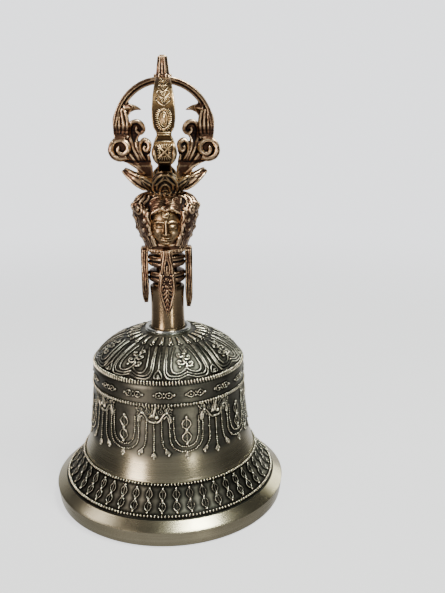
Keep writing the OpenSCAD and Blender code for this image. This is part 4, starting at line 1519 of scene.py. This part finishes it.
def makePendant(bite):
    g = pendant
    h = g["half"]
    edge = np.array([(0, 73.0), (0.8, 75.0), (1.55, 77.0), (2.1, 79.0), (2.7, 81.4), (h, 84.0),
                     (h - 0.15, 86.5), (2.6, 89.5), (2.15, 92.5), (1.95, 95.5), (1.9, g["top"])])
    edge = through(edge, 60)
    edge[:, 0] = np.maximum(edge[:, 0] - 0.1, 0)
    outline = np.concatenate([edge, edge[::-1]*[-1, 1]])
    body = plate(outline, g["thick"]/2)
    pick(body)
    bpy.ops.object.mode_set(mode="EDIT")
    bpy.ops.mesh.select_all(action="SELECT")
    bpy.ops.mesh.bisect(plane_co=(0, 0, 90*mm), plane_no=(0, 0, 1))
    bpy.ops.object.mode_set(mode="OBJECT")
    co = coords(body)
    co[:, 1] += -(g["face"] - g["thick"]/2)*mm
    setCoords(body, co)
    y = -g["face"] - 0.02
    lines = []

    def lineAt(points, size, n=16, mirror=True):
        p = through(points, n)
        size = np.atleast_1d(size)
        radius = np.interp(np.linspace(0, 1, n), np.linspace(0, 1, len(size)), size)
        for side in ((-1, 1) if mirror else (1,)):
            lines.append((np.stack([p[:, 0]*side, np.full(n, y), p[:, 1]], 1), radius, False))

    chance = random.Random(11)
    for side in (-1, 1):    # uneven ridges down both edges
        for depth in (0.35, 1.15, 1.95):
            z = np.linspace(97, 75.4, 26)
            x = np.interp(z, edge[:, 1], edge[:, 0])*side
            jog = through([(chance.uniform(-0.14, 0.14), chance.uniform(0.24, 0.46)) for _ in range(9)], 26)
            lines.append((np.stack([x, depth - g["face"] + jog[:, 0], z], 1), np.abs(jog[:, 1]), False))
    if bite:    # notches down the outer face
        for z in np.arange(77.4, 94, 1.3):
            wide = np.interp(z, edge[:, 1], edge[:, 0])
            lines.append((np.array([(x, y - 0.1, z) for x in np.linspace(-wide, wide, 6)]), bite, False))
    inner = [(0, 74.3), (0.85, 76.7), (1.5, 79.0), (2.1, 81.4), (2.45, 84.0), (2.3, 86.6), (2.0, 89.4)]
    lineAt(inner, (0.3, 0.36), 26)
    lineAt([(0.1, 98), (0.25, 95.4), (0.95, 93), (0.9, 90.6), (0.3, 89.2)], (0.34, 0.4, 0.3))    # strands
    lineAt([(0.9, 98), (1.25, 95.0), (1.75, 92.4), (1.8, 90.0)], (0.36, 0.42, 0.3))
    lineAt([(0.0, 92.6), (0.0, 90.6), (0.0, 89.0)], (0.3, 0.5, 0.25), 8, False)
    for z, r in ((85.0, 0.62), (87.7, 0.42)):    # rosettes
        a = ring(16)
        lines.append((np.stack([r*np.cos(a), np.full(16, y), z + r*np.sin(a)], 1), 0.24, True))
    lineAt([(0.9, 86.9), (1.6, 87.6), (1.75, 86.6), (1.2, 86.0), (0.9, 86.3)], 0.3)
    lineAt([(0.8, 83.9), (1.6, 83.2), (1.9, 84.3), (1.4, 85.2)], 0.3)
    lineAt([(0.0, 83.8), (0.55, 82.6), (1.45, 81.9), (2.0, 82.4)], (0.36, 0.3))
    lineAt([(0.0, 82.2), (0.6, 80.9), (1.5, 80.3)], (0.34, 0.26))
    lineAt([(0.0, 80.5), (0.5, 79.3), (1.2, 78.8)], (0.32, 0.24))
    lineAt([(0.0, 78.8), (0.35, 77.8), (0.8, 77.4)], (0.3, 0.2), 10)
    lineAt([(0.0, 81.5), (0.0, 78.5), (0.0, 76.2)], (0.3, 0.2), 8, False)
    lineAt([(1.2, 89.3), (1.6, 88.7), (1.9, 88.9)], 0.28, 8)
    seats = [seatAt((0, y - 0.05, z), 0.34) for z in (76.2, 85.0, 90.9)]
    o = cast("pendant", [body, tubes("chasing", lines, 1), copiesAt("dots", bead((1, 1, 1), 8, 5), seats)],
             g["voxel"], 1)
    co = coords(o)/mm
    thin = 1 - 0.3*step(78, 73, co[:, 2])    # at the tip
    co[:, 1] = -g["face"] + 1.2 + (co[:, 1] + g["face"] - 1.2)*thin
    setCoords(o, co*mm)
    markWearAndShade(o, 0.4)
    return o


stemCore = makeStem()
ringLow = makeStemRing("stemRingLower", stem["rings"][0], stem["ringHeight"])
ringHigh = makeStemRing("stemRingUpper", stem["rings"][1], stem["ringHeight"])
necklace = makeNecklace()
for o, node in ((stemCore, "stem_core"), (ringLow, "stem_ring_lower"), (ringHigh, "stem_ring_upper"),
                (necklace, "necklace_ring")):
    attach(o, "bell")
    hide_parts(node)
    o.data.materials.append(copper)
firstPendant, notched = makePendant(0), makePendant(0.3)
pendants = [turnedCopy(notched if s == "right" else firstPendant, "pendant" + s.title(), d)
            for s, d in zip(sides, (0, 90, 180, 270))]
for o in (firstPendant, notched):
    bpy.data.objects.remove(o)
for o, length in zip(pendants, (1.0, 0.94, 1.0, 0.86)):    # the side ones are shorter
    co = coords(o)
    co[:, 2] = pendant["top"]*mm + (co[:, 2] - pendant["top"]*mm)*length
    setCoords(o, co)
for o, s in zip(pendants, sides):
    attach(o, "bell")
    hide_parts("pendant_" + s)
    o.data.materials.append(copper)
print("stem and pendants finished", len(pendants[0].data.polygons))


# collar and ferrule

def lathedFinish(name, tone, shadeAndGrimeTone, roughness, streak=0.35, pitted=0.0, **fixed):
    f = Finish(name, roughness, Anisotropic=0.3, Anisotropic_Rotation=0.25, **fixed)
    f.brushRound()
    cut = f.group(turned)
    cloud = noise(f.tree, f.place, 260, 4, 0.65, 0.3)
    # darkening from the mark is painted shade where the part meets others; the noise adds random blotches of
    # real grime
    grime = calc(f.tree, "MAXIMUM", f.mark("grime"), spread(f.tree, cloud, 0.52, 0.82, 0.0, 0.55))
    colour = blendColours(f.tree, times(f.tree, spread(f.tree, cut["Streak"], 0.35, 0.75), streak), tone,
                          tuple(min(1, c*1.25) for c in tone))
    f.feed(Base_Color=blendColours(f.tree, grime, colour, shadeAndGrimeTone))
    rough = plus(f.tree, times(f.tree, cut["Line"], 0.14), roughness - 0.07)
    f.feed(Roughness=plus(f.tree, rough, times(f.tree, grime, 0.22), True))
    f.bump(plus(f.tree, cut["Line"], times(f.tree, cloud, pitted)), 0.02, 0.5)
    return f.material


collarSteel = lathedFinish("collarSteel", (0.60, 0.62, 0.60), (0.10, 0.11, 0.11), 0.2)
ferruleBronze = lathedFinish("ferruleBronze", (0.33, 0.235, 0.14), (0.035, 0.02, 0.014), 0.2, 0.5, 1.0)

collar = {"radius": 8.7, "low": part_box("crown_collar")[0][2]/mm, "high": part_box("crown_collar")[1][2]/mm,
          "dish": 7.1, "floor": 66.8, "hole": 2.1}


def makeCollar():
    g = collar
    r, a, b = g["radius"], g["low"], g["high"]
    o = spun("collar", [(g["hole"], a), (r - 0.5, a), (r - 0.15, a + 0.1), (r, a + 0.35), (r, a + 0.75),
                        (r - 0.22, a + 0.9), (r - 0.22, a + 1.0), (r, a + 1.15), (r - 0.02, b - 0.42),
                        (r - 0.14, b - 0.16), (r - 0.42, b - 0.02), (r - 0.75, b), (r - 1.05, b - 0.06),
                        (g["dish"] + 0.25, b - 0.25), (g["dish"], b - 0.6),
                        (g["dish"] - 0.05, g["floor"] + 0.1), (g["dish"] - 0.3, g["floor"]),
                        (g["hole"], g["floor"])], 160, closed=True)
    smooth(o, 35)
    co = coords(o)/mm
    rr = np.hypot(co[:, 0], co[:, 1])
    # painted shade inside the dish under the ferrule and along the foot where the collar sits on the bell
    setMark(o, "grime", np.maximum(step(g["dish"] + 0.5, g["dish"], rr), step(a + 0.5, a, co[:, 2]))*0.9)
    return o


ferrule = {"low": 66.8, "high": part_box("handle_ferrule")[1][2]/mm, "foot": 6.7, "middle": 6.1, "top": 6.5,
           "bore": 4.7}


def makeFerrule():
    g = ferrule
    side = curvePoints([g["foot"], g["low"] + 0.6], [g["middle"], g["low"] + 3],
                       [g["middle"], g["high"] - 3.5], [g["top"], g["high"] - 1.2], 24)
    o = spun("ferrule", [(g["bore"], g["low"]), (g["foot"] - 0.3, g["low"]),
                         (g["foot"] - 0.05, g["low"] + 0.15)] +
             [tuple(p) for p in side] + [(g["top"] + 0.02, g["high"] - 0.5),
                                         (g["top"] - 0.1, g["high"] - 0.12),
                                        (g["top"] - 0.35, g["high"]), (2.1, g["high"]), (2.1, g["high"] - 2),
                                        (g["bore"], g["high"] - 2)], 128, closed=True)
    smooth(o, 35)
    z = coords(o)[:, 2]/mm
    # painted shade at both ends, where the ferrule meets the collar below and the stem above
    setMark(o, "grime", np.maximum(step(g["low"] + 1.6, g["low"] + 0.1, z),
                                   step(g["high"] - 2.2, g["high"] - 0.4, z))*0.75)
    return o


collarRing = makeCollar()
ferruleTube = makeFerrule()
for o, node, slot, material in ((collarRing, "crown_collar", "collar_steel", collarSteel),
                                (ferruleTube, "handle_ferrule", "ferrule_bronze", ferruleBronze)):
    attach(o, "bell")
    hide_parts(node)
    o.data.materials.append(material)


# clapper and its fixings

def forgedFinish(name, tone, rust, roughness, dents=0.05):
    f = Finish(name, roughness)
    cloud = noise(f.tree, f.place, 300, 5, 0.65, 0.5)
    dent = noise(f.tree, f.place, 520, 2, 0.5)
    fine = noise(f.tree, f.place, 2600, 3, 0.7)
    colour = blendColours(f.tree, spread(f.tree, fine, 0.35, 0.8, 0.0, 0.5), tone,
                          tuple(c*0.55 for c in tone))
    f.feed(Base_Color=blendColours(f.tree, spread(f.tree, cloud, 0.5, 0.78, 0.0, 0.75), colour, rust))
    f.feed(Roughness=plus(f.tree, times(f.tree, cloud, 0.3), roughness - 0.15, True))
    f.feed(Metallic=spread(f.tree, cloud, 0.55, 0.9, 1.0, 0.7))
    f.bump(plus(f.tree, dent, times(f.tree, fine, 0.2)), dents, 0.9)
    return f.material


iron = forgedFinish("clapperIron", (0.20, 0.19, 0.18), (0.075, 0.045, 0.03), 0.42, 0.08)
fixingSteel = forgedFinish("fixingSteel", (0.42, 0.41, 0.39), (0.12, 0.095, 0.07), 0.34, 0.02)
for node, material in (("crown_washer", fixingSteel), ("crown_nut", fixingSteel), ("clapper_eyebolt", iron),
                       ("clapper_link", iron), ("clapper_rod", iron)):
    for s in bpy.data.objects[node].material_slots:
        s.material = material

bob = {"low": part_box("clapper_bob")[0][2]/mm, "radius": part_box("clapper_bob")[1][0]/mm, "top": 17.5,
       "rod": 1.5}


def makeBob():
    g = bob
    r, z = g["radius"], g["low"]
    low = curvePoints([0, z], [r*0.7, z], [r, z + 2.5], [r, z + 4.6], 14)
    high = curvePoints([r, z + 5.4], [r, z + 9], [g["rod"] + 1.2, g["top"] - 4.6],
                       [g["rod"] + 0.75, g["top"] - 1.4], 16)
    o = spun("clapperBob", [tuple(p) for p in low] + [(r, z + 4.8), (r - 0.12, z + 5.0), (r, z + 5.2)] +
             [tuple(p) for p in high] + [(g["rod"] + 1.05, g["top"] - 1.1), (g["rod"] + 1.1, g["top"] - 0.6),
                                        (g["rod"] + 0.7, g["top"] - 0.1), (g["rod"], g["top"]),
                                         (g["rod"], 8), (0, 8)], 72)
    return smooth(o, 40)


clapperBob = makeBob()
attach(clapperBob, "clapper")
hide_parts("clapper_bob")
clapperBob.data.materials.append(iron)
print("clapper finished")


# floor, light and camera

studio = {
    "distance": 0.2577, "height": 0.150, "down": 15.5, "aside": 4.66, "lens": 42.5,
    "backdrop": (2.05, 2.08, 2.15), "paper": (0.35, 0.35, 0.35), "glow": 0.62, "fade": (0.2, 0.6),
    "around": (1.0, 0.99, 0.97), "dim": 0.07, "front": 0.2, "back": 0.8, "below": 0.32,
}


def makeFloor():
    clearSelection()
    bpy.ops.mesh.primitive_circle_add(vertices=96, radius=0.9, fill_type="TRIFAN")
    o = bpy.context.object
    o.name = "floor"
    f = Finish("paper", 0.9, 0.0, Specular_IOR_Level=0.1)
    tree = f.tree
    f.shader.inputs["Base Color"].default_value = (*studio["paper"], 1)
    length = tree.nodes.new("ShaderNodeVectorMath")
    length.operation = "LENGTH"
    tree.links.new(f.place, length.inputs[0])
    # clear from below, to show the clapper
    under = tree.nodes.new("ShaderNodeNewGeometry").outputs["Backfacing"]
    f.feed(Alpha=times(tree, minus(tree, 1.0, under), spread(
        tree, length.outputs["Value"], studio["fade"][0], studio["fade"][1], 1.0, 0.0)))
    light = tree.nodes.new("ShaderNodeLightPath")
    f.shader.inputs["Emission Color"].default_value = (*studio["backdrop"], 1)
    f.feed(Emission_Strength=times(tree, studio["glow"], light.outputs["Is Camera Ray"]))
    o.data.materials.append(f.material)
    # the boxes light the bell from below too
    o.visible_glossy = o.visible_diffuse = o.visible_shadow = False


def softBox(name, place, aim, size, power, tint=(1, 1, 1)):
    data = bpy.data.lights.new(name, "AREA")
    data.shape = "RECTANGLE"
    data.size, data.size_y = size
    data.energy = power
    data.color = tint
    o = bpy.data.objects.new(name, data)
    bpy.context.scene.collection.objects.link(o)
    o.location = place
    o.rotation_euler = (Vector(aim) - Vector(place)).to_track_quat("-Z", "Y").to_euler()


def makeStudio():
    softBox("leftBox", (-0.50, -0.52, 0.22), (0, 0, 0.07), (0.24, 0.56), 4.6, (1.0, 0.86, 0.74))
    softBox("rightBox", (0.33, -0.62, -0.16), (0, 0, 0.08), (0.10, 0.26), 0.9, (1.0, 0.95, 0.78))
    softBox("topBox", (0.17, -0.14, 0.62), (0, 0, 0.02), (0.22, 0.22), 6.5, (0.96, 1.0, 0.90))
    softBox("leftTopBox", (-0.40, 0.08, 0.50), (0, 0, 0.02), (0.2, 0.2), 0.7, (1.0, 0.92, 0.84))
    softBox("sideBox", (0.55, 0.50, 0.24), (0, 0, 0.03), (0.3, 0.3), 1.5, (0.99, 1.0, 0.82))
    world = bpy.data.worlds.new("studio")
    bpy.context.scene.world = world
    world.use_nodes = True
    tree = world.node_tree
    tree.nodes.clear()
    seen = tree.nodes.new("ShaderNodeBackground")
    seen.inputs[0].default_value = (*studio["backdrop"], 1)
    around = tree.nodes.new("ShaderNodeBackground")
    around.inputs[0].default_value = (*studio["around"], 1)
    apart = tree.nodes.new("ShaderNodeSeparateXYZ")
    tree.links.new(tree.nodes.new("ShaderNodeTexCoord").outputs["Generated"], apart.inputs[0])
    level = studio["dim"]
    for axis, low, high, side in ((1, -0.2, -0.95, "front"), (1, 0.45, 0.95, "back"),
                                  (2, -0.1, -0.55, "below")):
        level = plus(tree, spread(tree, apart.outputs[axis], low, high, 0.0, studio[side]), level)
    tree.links.new(level, around.inputs[1])
    path = tree.nodes.new("ShaderNodeLightPath")
    both = tree.nodes.new("ShaderNodeMixShader")
    end = tree.nodes.new("ShaderNodeOutputWorld")
    tree.links.new(path.outputs["Is Camera Ray"], both.inputs[0])
    tree.links.new(around.outputs[0], both.inputs[1])
    tree.links.new(seen.outputs[0], both.inputs[2])
    tree.links.new(both.outputs[0], end.inputs[0])
    camera = bpy.data.cameras.new("camera")
    camera.lens = studio["lens"]
    camera.sensor_width = 36
    camera.clip_start = 0.01
    o = bpy.data.objects.new("camera", camera)
    bpy.context.scene.collection.objects.link(o)
    o.location = (0, -studio["distance"], studio["height"])
    o.rotation_euler = (math.radians(90 - studio["down"]), 0, math.radians(-studio["aside"]))
    bpy.context.scene.camera = o


makeFloor()
makeStudio()
print("studio set")
